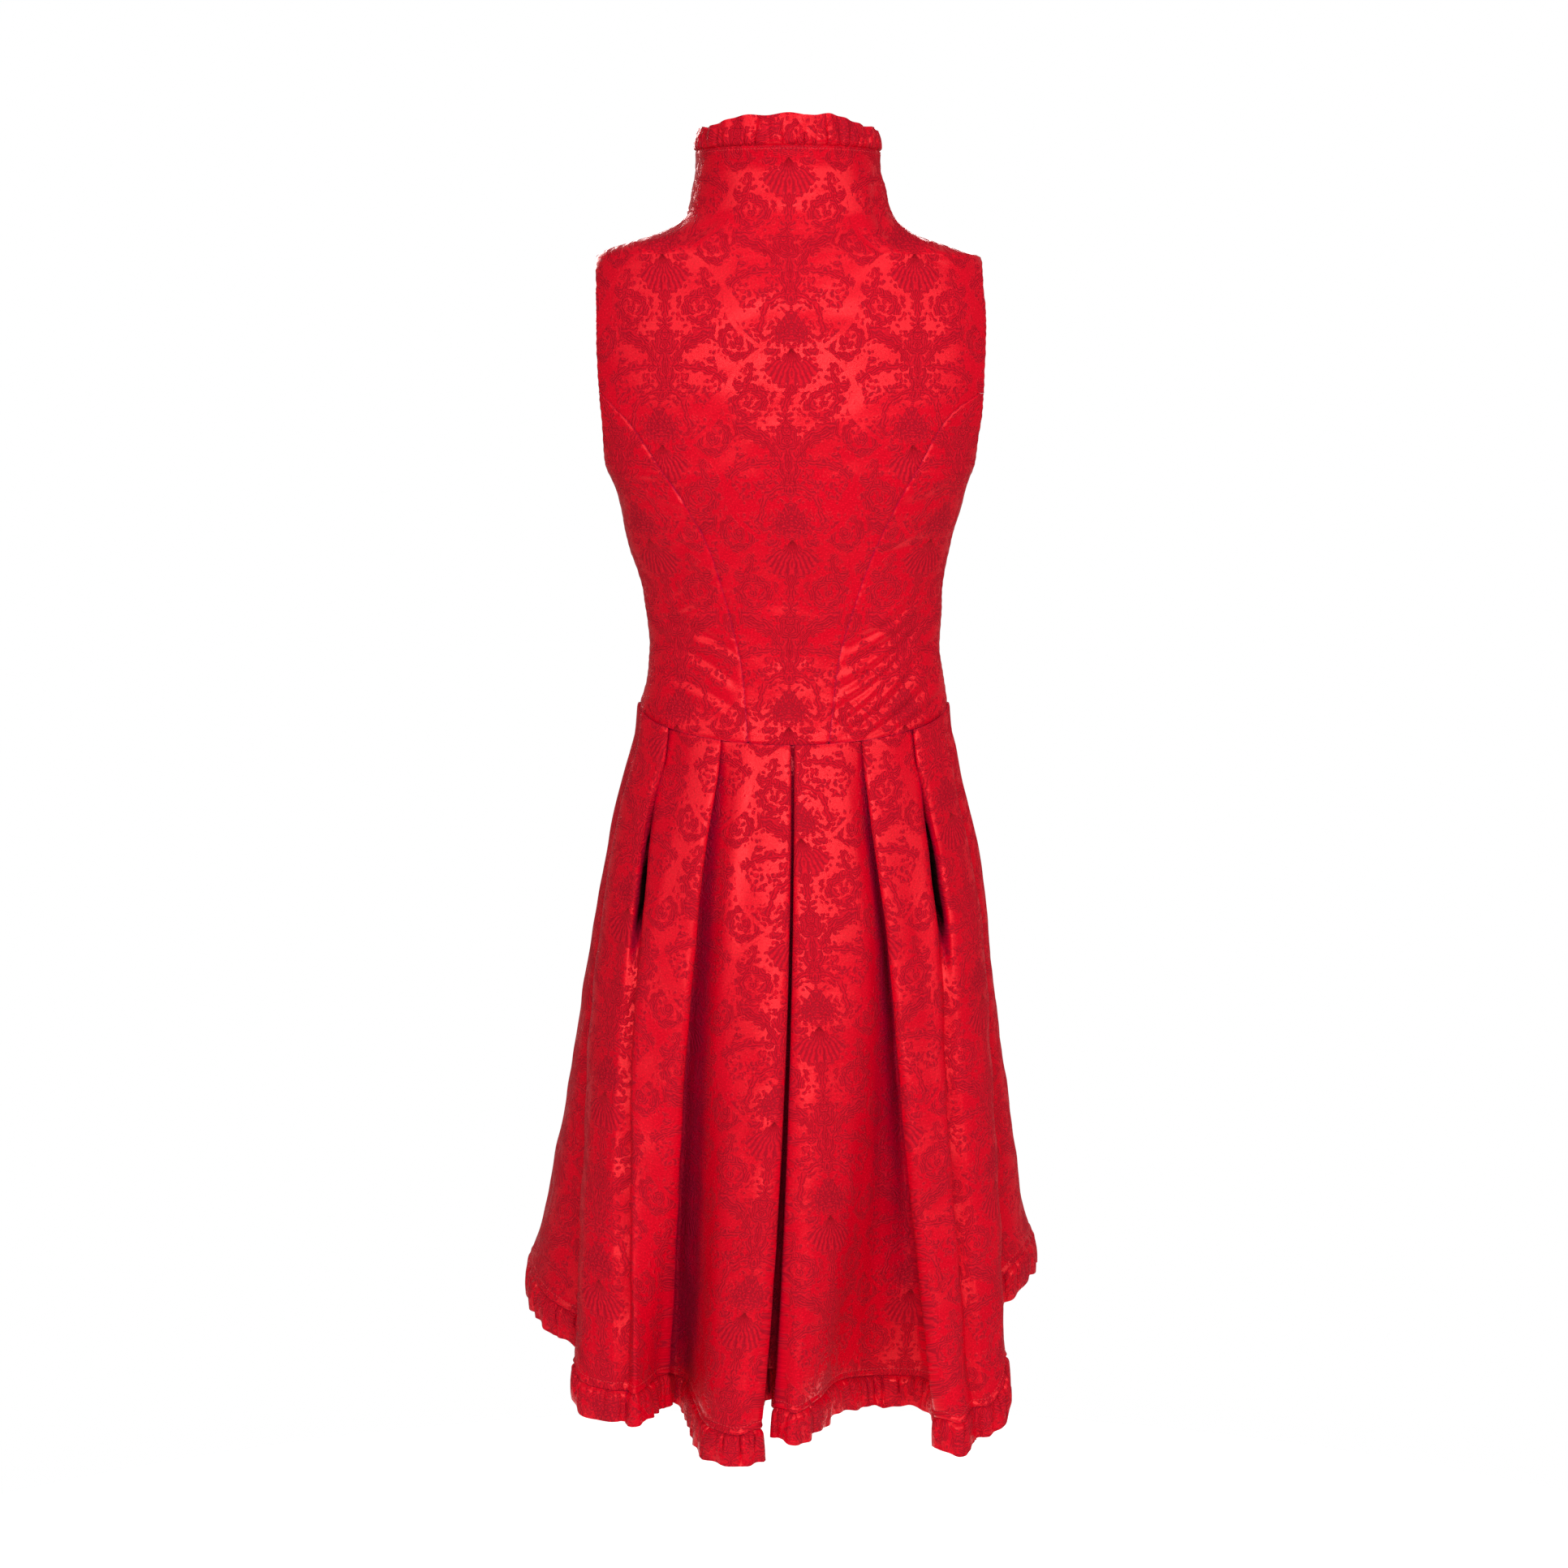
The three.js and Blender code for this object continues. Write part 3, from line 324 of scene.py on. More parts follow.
def crease(p, rows):
    out = np.zeros(p.shape[:-1])
    for x0, z0, x1, z1, wide, deep in rows:
        dx, dz = x1 - x0, z1 - z0
        size = math.hypot(dx, dz)
        along = ((p[..., 0] - x0) * dx + (p[..., 2] - z0) * dz) / size**2
        bow = 0.06 * size * np.sin(np.clip(along, 0, 1) * math.pi)
        across = ((p[..., 0] - x0) * dz - (p[..., 2] - z0) * dx) / size + bow
        fade = smooth(along / 0.35 + 0.35) * smooth((1 - along) / 0.35 + 0.35)
        out += -deep * fade * np.exp(-(across / wide) ** 2)
        out += 0.45 * deep * fade * np.exp(-((across - 1.9 * wide) / wide) ** 2)
    return out


def quads_of(rows, cols, first=0):
    a = (first + np.arange(rows - 1)[:, None] * cols + np.arange(cols - 1)[None]).ravel()
    return np.stack([a, a + 1, a + 1 + cols, a + cols], 1)


def shut_off(grid, normals, blockers, far=90, clear=1.3, rays=20, skip=2):
    """How much of the room above each point of the cloth is shut off by cloth near it, from rays
    that fan out of every second point"""
    verts = np.concatenate([b.reshape(-1, 3) for b in blockers])
    first = np.cumsum([0] + [b.shape[0] * b.shape[1] for b in blockers])
    faces = np.concatenate([quads_of(*b.shape[:2], f) for b, f in zip(blockers, first)])
    tree = BVHTree.FromPolygons(verts.tolist(), faces.tolist())
    turn = np.arange(rays) * 2.39996
    flat = np.sqrt((np.arange(rays) + 0.5) / rays)
    up = np.sqrt(1 - flat**2)
    rows = np.unique(np.append(np.arange(0, grid.shape[0], skip), grid.shape[0] - 1))
    cols = np.unique(np.append(np.arange(0, grid.shape[1], skip), grid.shape[1] - 1))
    n = normals[np.ix_(rows, cols)]
    side = unit(np.cross(n, np.array([0.0, 0.0, 1.0]) + 0.01))
    other = np.cross(n, side)
    ways = (side[..., None, :] * (flat * np.cos(turn))[:, None]
            + other[..., None, :] * (flat * np.sin(turn))[:, None] + n[..., None, :] * up[:, None])
    starts = (grid[np.ix_(rows, cols)] + n * clear).reshape(-1, 3).tolist()
    blocked = np.zeros(len(starts))
    for i, (start, fan) in enumerate(zip(starts, ways.reshape(len(starts), rays, 3).tolist())):
        for way in fan:
            distance = tree.ray_cast(start, way, far)[3]
            if distance is not None:
                blocked[i] += 1 - (distance / far) ** 2
    coarse = blocked.reshape(len(rows), len(cols)) / rays
    wide = np.stack([np.interp(np.arange(grid.shape[1]), cols, row) for row in coarse])
    every = np.arange(grid.shape[0])
    return np.stack([np.interp(every, rows, wide[:, k]) for k in range(grid.shape[1])], 1)


# Meshes

def add_piece(name, mesh):
    piece = bpy.data.objects.new(name, mesh)
    bpy.context.scene.collection.objects.link(piece)
    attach(piece, "root")
    return piece


def closed_wall(name, outer, inner, uv, slot, shut):
    """A piece of cloth between two grids of points, closed round its edges"""
    rows, cols = outer.shape[:2]
    inside = rows * cols
    verts = np.concatenate([outer.reshape(-1, 3), inner.reshape(-1, 3)]) / 1000
    uvs = np.concatenate([uv.reshape(-1, 2), uv.reshape(-1, 2)]) / 1000
    face = quads_of(rows, cols)
    quads = [face, inside + face[:, ::-1]]
    low, left = np.arange(cols - 1), np.arange(rows - 1) * cols
    for rim, step, turned in ((low, 1, True), (low + (rows - 1) * cols, 1, False),
                              (left, cols, False), (left + cols - 1, cols, True)):
        quad = [rim, rim + step, inside + rim + step, inside + rim]
        quads.append(np.stack([quad[0], *quad[:0:-1]] if turned else quad, 1))
    faces = np.concatenate(quads)
    mesh = bpy.data.meshes.new(name)
    mesh.vertices.add(len(verts))
    mesh.vertices.foreach_set("co", verts.astype(np.float32).ravel())
    mesh.loops.add(faces.size)
    mesh.loops.foreach_set("vertex_index", faces.astype(np.int32).ravel())
    mesh.polygons.add(len(faces))
    mesh.polygons.foreach_set("loop_start", np.arange(0, faces.size, 4, dtype=np.int32))
    mesh.update(calc_edges=True)
    mesh.uv_layers.new(name="cloth")
    mesh.uv_layers["cloth"].uv.foreach_set("vector", uvs[faces.ravel()].astype(np.float32).ravel())
    # Painted shade: the share of room above each outer point that nearby cloth shuts off, none on the
    # inner layer
    fold = mesh.attributes.new("fold", "FLOAT", "POINT")
    fold.data.foreach_set("value", np.concatenate([shut.ravel(), 0 * shut.ravel()]).astype(np.float32))
    mesh.materials.append(outside)
    mesh.materials.append(shaded_reverse)
    side = np.zeros(len(faces), np.int32)
    side[len(face):2 * len(face)] = 1
    mesh.polygons.foreach_set("material_index", side)
    mesh.polygons.foreach_set("use_smooth", np.ones(len(faces), bool))
    mesh.set_sharp_from_angle(angle=math.radians(55))
    mesh.validate()
    piece = add_piece(name, mesh)
    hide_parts(slot)
    return piece


def layer_area(grid):
    """Area of one layer, in square metres"""
    a = grid[1:, 1:] - grid[:-1, :-1]
    b = grid[1:, :-1] - grid[:-1, 1:]
    return float(np.linalg.norm(np.cross(a, b), axis=-1).sum() / 2) / 1e6


def near_seam(where, wide):
    """1 at both ends of each row, and next to nothing beyond twice the width given"""
    near = np.minimum(where, where[:, -1:] - where)
    return np.exp(-(near / wide) ** 2)


def z_rows(low, high, count, keep=()):
    rows = np.concatenate([low + EDGE, np.linspace(low + 9, high - 9, count), high - EDGE, keep])
    return np.unique(np.round(rows, 3))


def bodice_piece(name, at, spans, count, creases, middle):
    """A panel of the bodice from rows of (z, start turn, end turn); the damask's own middle lies at
    this share of its width"""
    rows = [section(at, z, start, end, count) for z, start, end in spans]
    points = np.stack([r[0] for r in rows])
    normals = np.stack([r[1] for r in rows])
    where = np.stack([r[2] for r in rows])
    folds = crease(points, creases)
    move = DRIFT * drift(points) + folds
    move += -SEAM_DEEP * near_seam(where, 1.6)
    low = points[..., 2] - points[0][None, :, 2]
    move += -WAIST_DEEP * np.exp(-(low / 1.7) ** 2)
    pucker = np.exp(-np.minimum(where, where[:, -1:] - where) / 7)
    move += PUCKER * pucker * np.sin(points[..., 2] * 0.83 + 2 * np.sin(points[..., 2] * 0.11))
    points = points + normals * move[..., None]
    u = where - where[:, -1:] * middle
    uv = np.stack([u, points[..., 2]], -1)
    # Painted shade along the seams, at the waist seam and in the creases
    shut = SEAM_SHADE * near_seam(where, 1.3) + WAIST_SHADE * np.exp(-(low / 1.5) ** 2)
    shut += CREASE_SHADE * smooth(-folds / 1.6)
    piece = closed_wall(name + "_cloth", points, points - normals * BODICE_WALL, uv, name, shut)
    return piece, points, normals, where


def skirt_level(level):
    """Control points at the waist (0), half way (1) or the hem (2), and for each its spline steps,
    whether it is a fold's inner point, and 1 in a fold, 2 at its end or 0 on a panel"""
    out, steps, inner, fold = [], [], [], []
    for row in SKIRT:
        x = (row["waist_x"], row["mid_x"], row["hem_x"])[level]
        sign = -1 if row["front"] else 1
        side = "right" if row["waist_x"] < 0 else "left"
        low = SKIRT_SIDES[side][0]
        top = SKIRT_SIDES[side][-1]
        a = top if level == 0 else low
        b = (WAIST_FRONT if row["front"] else WAIST_BACK) if level == 0 else 0.8 * a
        y = (sign * b * math.sqrt(max(1 - (x / a) ** 2, 0)), row["mid_y"], row["hem_y"])[level]
        own = math.atan2(x / a**2, y / b**2)
        centre = math.pi * math.copysign(1, own or 1) if row["front"] else 0
        share = row["turn"] if level and "over" in row else 1
        angle = centre + (own - centre) * share
        out_x, out_y = math.sin(angle), math.cos(angle)

        def place(aside, depth, z):
            return x - out_y * aside - out_x * depth, y + out_x * aside - out_y * depth, z

        roll = ROLL[level]
        if "over" not in row:
            out.append(place(0, row["layer"] * 2 * roll if level == 0 else 0, row["hem_z"]))
            steps.append(PANEL_STEPS)
            inner.append(False)
            fold.append(0)
            continue
        over, drop = row["over"], row["under_z"] - row["hem_z"]
        tuck = (row["waist_tuck"], row["mid_tuck"], row["hem_tuck"])[level]
        sink = (4 * roll, row["mid_sink"], row["hem_sink"])[level]
        if tuck > 0:
            mid = roll + sink / 2
            tall = min(sink / 2 - roll, 1.2 * (tuck - roll))
            turn = min(tall, tuck / 2)
            shape = [(roll, 0), (0, roll), (min(roll, tuck / 2), 2 * roll), (tuck - turn, mid - tall),
                     (tuck, mid), (tuck - turn, mid + tall), (0, sink)]
        else:
            shape = [(-tuck / 4, 0), (0, sink * 0.12), (tuck * 0.4, sink * 0.5),
                     (tuck * 0.75, sink * 0.85), (tuck, sink), (tuck * 1.3, sink * 0.9),
                     (tuck * 2.2, sink * 0.35)]
        last = FOLD_POINTS - 1
        order = range(FOLD_POINTS) if over < 0 else range(last, -1, -1)
        for n, k in enumerate(order):
            aside, depth = shape[k]
            out.append(place(over * aside, depth, row["hem_z"] + drop * UNDER_SHARE[k]))
            steps.append(PANEL_STEPS if n == last else FOLD_STEPS)
            inner.append(k == INNER_FOLD)
            fold.append(0 if row["mid_tuck"] < 0 else 1 if n < last else 2)
    return np.array(out), steps, inner, fold


PANEL_STEPS, FOLD_STEPS = 8, 3
LEVELS = [skirt_level(n) for n in range(3)]
STEPS, INNER, FOLD = LEVELS[0][1:]
# Pleats that stand open below the waist: which way they turn, at each of their points
OPEN = [row["over"] if row.get("mid_tuck", 0) < 0 else 0
        for row in SKIRT for _ in range(FOLD_POINTS if "over" in row else 1)]
skirt_half = {1: column(SKIRT_SIDES, "left"), -1: column(SKIRT_SIDES, "right")}


def between(a, b, c, t):
    """A parabola through the waist (0), the half-way level (MID) and the hem (1)"""
    bend = ((b - a) - (c - a) * MID) / (MID * MID - MID)
    return a + (c - a - bend) * t + bend * t * t


def hip_scale(side, t):
    """What the skirt's width is multiplied by at each height, to follow its outline"""
    low = SKIRT_SIDES["z"][0]

    def at(s):
        return skirt_half[side](WAIST_Z + (low - WAIST_Z) * s)
    return at(t) / between(at(0.0), at(MID), at(1.0), t)


def skirt_controls(t):
    w, m, h = [level[0][None] for level in LEVELS]
    x = between(w[..., 0], m[..., 0], h[..., 0], t[:, None])
    scale = np.where(x < 0, hip_scale(-1, t)[:, None], hip_scale(1, t)[:, None])
    y = between(w[..., 1], m[..., 1], h[..., 1], t[:, None])
    return xyz(x * scale, y, np.broadcast_to(h[..., 2], x.shape))


def spline(points, steps):
    """A centripetal spline through each row of points, with its own steps after each point"""
    out = []
    n = points.shape[1]

    def knot(a, b):
        return np.maximum(np.linalg.norm(b - a, axis=-1, keepdims=True) ** 0.5, 1e-3)
    for i in range(n - 1):
        b, c = points[:, i], points[:, i + 1]
        a = points[:, i - 1] if i > 0 else 2 * b - c
        d = points[:, i + 2] if i + 2 < n else 2 * c - b
        ab, bc, cd = knot(a, b), knot(b, c), knot(c, d)
        slope_b = ((c - b) / bc - (c - a) / (ab + bc) + (b - a) / ab) * bc
        slope_c = ((c - b) / bc - (d - b) / (bc + cd) + (d - c) / cd) * bc
        for k in range(steps[i]):
            s = k / steps[i]
            out.append(b * (2 * s**3 - 3 * s**2 + 1) + slope_b * (s**3 - 2 * s**2 + s)
                       + c * (3 * s**2 - 2 * s**3) + slope_c * (s**3 - s**2))
    out.append(points[:, -1])
    return np.stack(out, 1)


def waist_height(p):
    wide = np.where(p[..., 0] < 0, half[-1](WAIST_Z), half[1](WAIST_Z))
    share = np.sqrt(np.maximum(1 - (p[..., 0] / wide) ** 2, 0))
    return WAIST_Z - 2 * SEAM - share * np.where(p[..., 1] > 0, BACK_DIP, FRONT_DIP)


# Soft ridges and hollows of the skirt: angle in degrees from the centre back towards the left,
# heights where it starts and ends, half-width in degrees and depth in millimetres
SKIRT_CREASES = [
    (33, -520, -900, 5, 2.0), (47, -470, -800, 4, -1.6), (-31, -560, -880, 4, 1.8),
    (-46, -500, -860, 4, 2.2), (-58, -430, -700, 4, -1.5), (12, -620, -900, 4, 1.2),
    (-12, -560, -860, 4, 1.4), (62, -480, -760, 5, 1.6), (88, -560, -840, 5, 2.0),
    (-92, -520, -830, 5, 2.0), (112, -470, -800, 5, 1.6), (-116, -520, -820, 5, 1.8),
    (140, -500, -820, 5, 1.7), (-142, -460, -800, 5, 1.5), (166, -520, -800, 5, 1.4),
    (-170, -480, -820, 5, 1.5),
]


def skirt_move(p, t):
    angle = np.degrees(np.arctan2(p[..., 0], 1.25 * p[..., 1]))
    move = drift(p) * (0.3 + 1.5 * smooth(t * 1.6))
    for where, top, low, wide, deep in SKIRT_CREASES:
        off = (angle - where + 180) % 360 - 180
        fade = smooth((top - p[..., 2]) / 90 + 0.2) * smooth((p[..., 2] - low) / 90 + 0.4)
        move = move - deep * fade * np.exp(-(off / wide) ** 2)
    return move


t_rows = np.concatenate([[0, 0.0015, 0.0035, 0.006, 0.0095, 0.014], np.linspace(0.02, 0.976, 84),
                         [0.982, 0.9865, 0.9895, 0.992, 0.9942, 0.9963, 0.998, 1]])
ring = spline(skirt_controls(t_rows), STEPS)
waist_line = waist_height(ring[0])
ring[..., 2] = waist_line[None] + (ring[..., 2] - waist_line[None]) * t_rows[:, None]
outward = unit(ring * np.array([1, 1.25, 0]))
ring = ring + outward * skirt_move(ring, t_rows[:, None])[..., None]
ring_arc, drop = arc(ring), climb(ring)
inward = unit(ring * np.array([-0.1, -1, 0]))
slit = np.zeros(ring_arc.shape)
for point, over in enumerate(OPEN):
    if over and INNER[point]:
        column_at = int(sum(STEPS[:point + 2 * over]))
        off = ring_arc - ring_arc[:, column_at:column_at + 1]
        reach = np.where(off * over > 0, SLIT_BEHIND, SLIT_BEFORE)
        open_at = smooth((t_rows - SLIT_TOP) / 0.1) * smooth((SLIT_END - t_rows) / 0.16)
        slit += open_at[:, None] * np.exp(-(off / reach) ** 2)
ring = ring + inward * (HIP_SLIT * slit)[..., None]
ring, t_rows, ring_arc, drop, slit = [v[::-1].copy() for v in (ring, t_rows, ring_arc, drop, slit)]
ring_normals = grid_normals(ring)
above_hem = climb(ring)
relief = (0.7 * np.exp(-((above_hem - 1.6) / 1.3) ** 2)
          - 0.45 * np.exp(-((above_hem - HEM_STITCH) / 1.1) ** 2)
          + 0.16 * np.exp(-above_hem / 12) * np.sin(arc(ring) * 0.6 + 2 * np.sin(arc(ring) * 0.05)))
down = np.linalg.norm(ring - ring[-1:], axis=-1)
relief += -WAIST_DEEP * np.exp(-(down / 1.8) ** 2)
ring = ring + ring_normals * relief[..., None]

# Painted shade of the skirt: where nearby cloth shuts off the room above, along the waist seam, and
# deeper in the hip slits
ring_shut = shut_off(ring, ring_normals, [ring]) + WAIST_SHADE * np.exp(-(down / 1.5) ** 2)
ring_shut += SLIT_SHADE * slit**2

count_to = np.concatenate([[0], np.cumsum(STEPS[:-1])])
splits = [int(count_to[i]) for i, flag in enumerate(INNER) if flag]
front_pleats = sum(1 for row in SKIRT if "over" in row and row["front"]) // 2
left_seam, right_seam = splits[front_pleats], splits[len(splits) - 1 - front_pleats]

# Distance along the cloth: each panel between two pleats keeps the true width about its middle,
# and the folds between panels take up the difference
centre_column = int(np.argmin(np.abs(ring[0, :, 0]) + np.where(ring[0, :, 1] < 0, 999, 0)))
level = int(np.argmin(np.abs(t_rows - 0.3)))
fold_start = [int(count_to[i]) for i in range(len(FOLD)) if FOLD[i] == 1 and FOLD[i - 1] != 1]
fold_end = [int(count_to[i]) for i in range(len(FOLD)) if FOLD[i] == 2]
ring_u = np.zeros(ring_arc.shape)
panels = list(zip([0] + fold_end, fold_start + [ring.shape[1] - 1]))
for a, b in panels:
    middle = (ring_arc[:, a] + ring_arc[:, b]) / 2
    ring_u[:, a:b + 1] = ring_arc[:, a:b + 1] - middle[:, None] + middle[level]
for (_, a), (b, _) in zip(panels[:-1], panels[1:]):
    share = (ring_arc[:, a:b + 1] - ring_arc[:, a:a + 1]) / (ring_arc[:, b:b + 1] - ring_arc[:, a:a + 1])
    ring_u[:, a:b + 1] = ring_u[:, a:a + 1] + share * (ring_u[:, b:b + 1] - ring_u[:, a:a + 1])
ring_u = ring_u - ring_u[level, centre_column]


def draw_in(row, first, last, by):
    """Part of a row, shortened a little at both ends"""
    piece = row[first:last + 1].copy()
    piece[0] += unit(piece[1] - piece[0]) * by
    piece[-1] += unit(piece[-2] - piece[-1]) * by
    return piece


def skirt_piece(name, first, last):
    grid = np.stack([draw_in(row, first, last, SEAM) for row in ring])
    normals = ring_normals[:, first:last + 1]
    uv = np.stack([ring_u[:, first:last + 1], -drop[:, first:last + 1]], -1)
    half_wall = normals * SKIRT_WALL / 2
    shut = ring_shut[:, first:last + 1]
    piece = closed_wall(name + "_cloth", grid + half_wall, grid - half_wall, uv, name, shut)
    return piece, grid


def pick(values, length, where):
    """A line's points, or its directions, at other distances along it"""
    return np.stack([np.interp(where, length, values[:, k]) for k in range(3)], -1)


def ruffle(name, at, out, fall, pitch, deep, root_first, slot, seed, shading, blockers=()):
    """A gathered strip: soft puffs between pinched folds that start at the seam, each with a reach,
    slant and depth of its own"""
    length = arc(at)
    size = length[-1]
    count = int(size * 1.05)
    where = np.linspace(0, size, count)
    at, out, fall = pick(at, length, where), unit(pick(out, length, where)), pick(fall, length, where)
    # Room for folds: the radius of the line's bends, over 6 mm to each side
    reach = max(int(6 / (where[1] - where[0])), 1)
    before = at - at[np.maximum(np.arange(count) - reach, 0)]
    after = at[np.minimum(np.arange(count) + reach, count - 1)] - at
    cos = np.clip((unit(before) * unit(after)).sum(-1), -1, 1)
    reach_mm = np.maximum(np.linalg.norm(before, axis=-1), np.linalg.norm(after, axis=-1))
    room = reach_mm / np.maximum(np.arccos(cos), 0.05)
    room = np.minimum(room, np.roll(room, reach))
    room = np.minimum(room, np.roll(room, -reach))
    loose = np.minimum(1, room * 0.05)
    end = smooth(np.minimum(where, size - where) / 14)
    chance = np.random.default_rng(seed)
    folds = int(size / pitch)
    steps = chance.uniform(0.55, 1.45, folds)
    places = np.cumsum(steps) / steps.sum() * size - pitch / 2
    slant, depth = chance.uniform(-3.2, 3.2, folds), 0.25 + 0.95 * chance.uniform(0, 1, folds) ** 1.6
    reaches, widths = chance.uniform(0.35, 1.25, folds), chance.uniform(0.7, 1.5, folds)
    tangent = unit(np.gradient(at, axis=0))
    # The first rows lie behind the edge that the strip is sewn to
    shares = np.array([-0.15, -0.04, 0.03, 0.07, 0.12, 0.18, 0.26, 0.36, 0.47, 0.58, 0.7, 0.81, 0.91, 1])
    tall = np.linalg.norm(fall, axis=-1)
    rows = []
    for share in shares:
        free, low = float(smooth((share + 0.01) / 0.07)), max(share, 0)
        valley, pull = np.zeros(count), np.zeros(count)
        for s, lean, d, far, wide in zip(places, slant, depth, reaches, widths):
            off = (where - s - lean * low) / (wide * (0.8 + 1.9 * low))
            hold = d * float(smooth((far - low) / 0.35 + 0.35))
            valley += hold * np.exp(-off**2)
            pull += hold * off * np.exp(-off**2)
        sway = np.sin(where / pitch * 2.9 + seed + 1.7 * np.sin(where / 19 + seed)) * low
        curl = np.sin(where / 31 + 2 * seed) * low**2
        swing = free * (0.55 * deep * (1 - 1.5 * valley) + 0.3 * deep * sway + 0.35 * deep * curl)
        swing = np.clip(swing, -room * 0.3, room * 0.3) * end
        uneven = 1 + low * (0.012 * sway + 0.045 * np.sin(where / 7.3 + seed + np.sin(where / 17))) * end
        behind = (1.35 + TUCK_BEHIND) * float(smooth((0.16 - share) / 0.17))
        bulge = 1.2 * math.sin(math.pi * low) * loose - behind
        rows.append(at + fall * (share * uneven)[:, None] + out * (swing + bulge)[:, None]
                    - tangent * (free * 0.5 * pull * end * loose)[:, None])
    grid = np.stack(rows)
    v = tall[None] * shares[:, None]
    uv = np.stack([np.broadcast_to(arc(grid)[6], v.shape), v], -1)
    if not root_first:
        grid, uv = grid[::-1], uv[::-1]
    normals = grid_normals(grid)
    half_wall = normals * RUFFLE_WALL / 2
    # Painted shade in the ruffle's valleys, where nearby cloth shuts off the room above
    shut = shading * shut_off(grid, normals, [grid, *blockers], far=14, clear=0.9, skip=1)
    piece = closed_wall(name, grid + half_wall, grid - half_wall, uv, slot, shut)
    return piece, grid


def hem_ruffle(slot, first, last, seed):
    hem = draw_in(ring[0], first, last, RUFFLE_WALL)
    along = np.gradient(hem, axis=0)
    gap = HEM_GAP * np.linalg.norm(along, axis=-1) / np.hypot(along[:, 0], along[:, 1])
    out = unit(ring_normals[0, first:last + 1] * np.array([1, 1, 0]))
    fall = np.array([0, 0, -HEM_TALL]) + out * HEM_FLARE
    at = hem - np.stack([0 * gap, 0 * gap, gap], -1)
    return ruffle(slot + "_cloth", at, out, fall, 9.5, 3.6, False, slot, seed, 1.15, [ring])


def stitch_row(name, at, out, pitch=3.0, long=2.1, thick=0.32, sink=0.0):
    """Short threads lying along a line of points"""
    length = arc(at)
    count = int(length[-1] / pitch)
    starts = (np.arange(count) + 0.5) * pitch - long / 2
    profile = [(0, 0.25, -0.5), (0.15, 0.8, 0.2), (0.5, 1, 0.6), (0.85, 0.8, 0.2), (1, 0.25, -0.5)]
    rings = []
    for share, fat, lift in profile:
        centre = pick(at, length, starts + long * share)
        normal = unit(pick(out, length, starts + long * share))
        along = unit(pick(at, length, starts + long) - pick(at, length, starts))
        side = unit(np.cross(normal, along))
        for k in range(6):
            angle = k * math.pi / 3
            rings.append(centre + normal * (thick * (lift * 0.6 + math.cos(angle) * fat * 0.6) - sink)
                         + side * (math.sin(angle) * fat * thick))
    verts = np.stack(rings, 1).reshape(-1, 3) / 1000
    faces = []
    for r in range(4):
        for k in range(6):
            faces.append((r * 6 + k, r * 6 + (k + 1) % 6, (r + 1) * 6 + (k + 1) % 6, (r + 1) * 6 + k))
    faces = np.array(faces)[None] + (np.arange(count) * 30)[:, None, None]
    caps = [[24 + k for k in range(6)], [5 - k for k in range(6)]]
    polys = faces.reshape(-1, 4).tolist()
    polys += [[base * 30 + k for k in cap] for base in range(count) for cap in caps]
    mesh = bpy.data.meshes.new(name)
    mesh.from_pydata(verts.tolist(), [], polys)
    mesh.materials.append(thread)
    mesh.polygons.foreach_set("use_smooth", np.ones(len(polys), bool))
    return add_piece(name, mesh)


# Materials

class Nodes:
    """Small sums in a new material's node tree: numbers and sockets in, a socket out"""

    def __init__(self, name):
        self.material = bpy.data.materials.new(name)
        self.material.use_nodes = True
        self.tree = self.material.node_tree
        self.shader = self.tree.nodes["Principled BSDF"]

    def put(self, node, values):
        """Numbers or sockets into a node's inputs, by name or number"""
        for key, value in values.items():
            if isinstance(value, (int, float, tuple)):
                node.inputs[key].default_value = value
            else:
                self.tree.links.new(value, node.inputs[key])
        return node

    def new(self, kind, values=(), **settings):
        node = self.tree.nodes.new("ShaderNode" + kind)
        for name, setting in settings.items():
            setattr(node, name, setting)
        return self.put(node, dict(values))

    def math(self, kind, *values):
        return self.new("Math", enumerate(values), operation=kind).outputs[0]

    def add(self, a, b):
        return self.math("ADD", a, b)

    def sub(self, a, b):
        return self.math("SUBTRACT", a, b)

    def mul(self, a, b):
        return self.math("MULTIPLY", a, b)

    def least(self, a, b):
        return self.math("MINIMUM", a, b)

    def most(self, a, b):
        return self.math("MAXIMUM", a, b)

    def size(self, x, y):
        return self.math("SQRT", self.add(self.mul(x, x), self.mul(y, y)))

    def noise(self, vector, scale, detail=2.0):
        return self.new("TexNoise", {"Scale": scale, "Detail": detail, "Vector": vector}).outputs[0]

    def cells(self, vector, scale, chance=1.0):
        values = {"Scale": scale, "Randomness": chance, "Vector": vector}
        return self.new("TexVoronoi", values, voronoi_dimensions="2D").outputs["Distance"]

    def vector(self, x, y):
        return self.new("CombineXYZ", {0: x, 1: y}).outputs[0]

    def ramp(self, value, low, high, a=0.0, b=1.0):
        values = enumerate((value, low, high, a, b))
        return self.new("MapRange", values, interpolation_type="SMOOTHSTEP").outputs[0]

    def mix(self, share, a, b):
        return self.new("Mix", {0: share, 6: a, 7: b}, data_type="RGBA").outputs[2]


def srgb(*levels):
    return (*[c / 12.92 if c <= 0.04045 else ((c + 0.055) / 1.055) ** 2.4
              for c in (level / 255 for level in levels)], 1.0)


# The damask, in millimetres: one repeat, and the pointed lattice between its figures
REPEAT_X, REPEAT_Y = 210, 155
LATTICE_X, LATTICE_SLOPE, LATTICE_BOW, LATTICE_GAP = 81.1, 0.738, 8.0, 2.2
RIB_PITCH, FAN_RIBS, WARP_PITCH, WEFT_PITCH = 2.1, 34.0, 0.62, 0.55
WANDER = 7.0


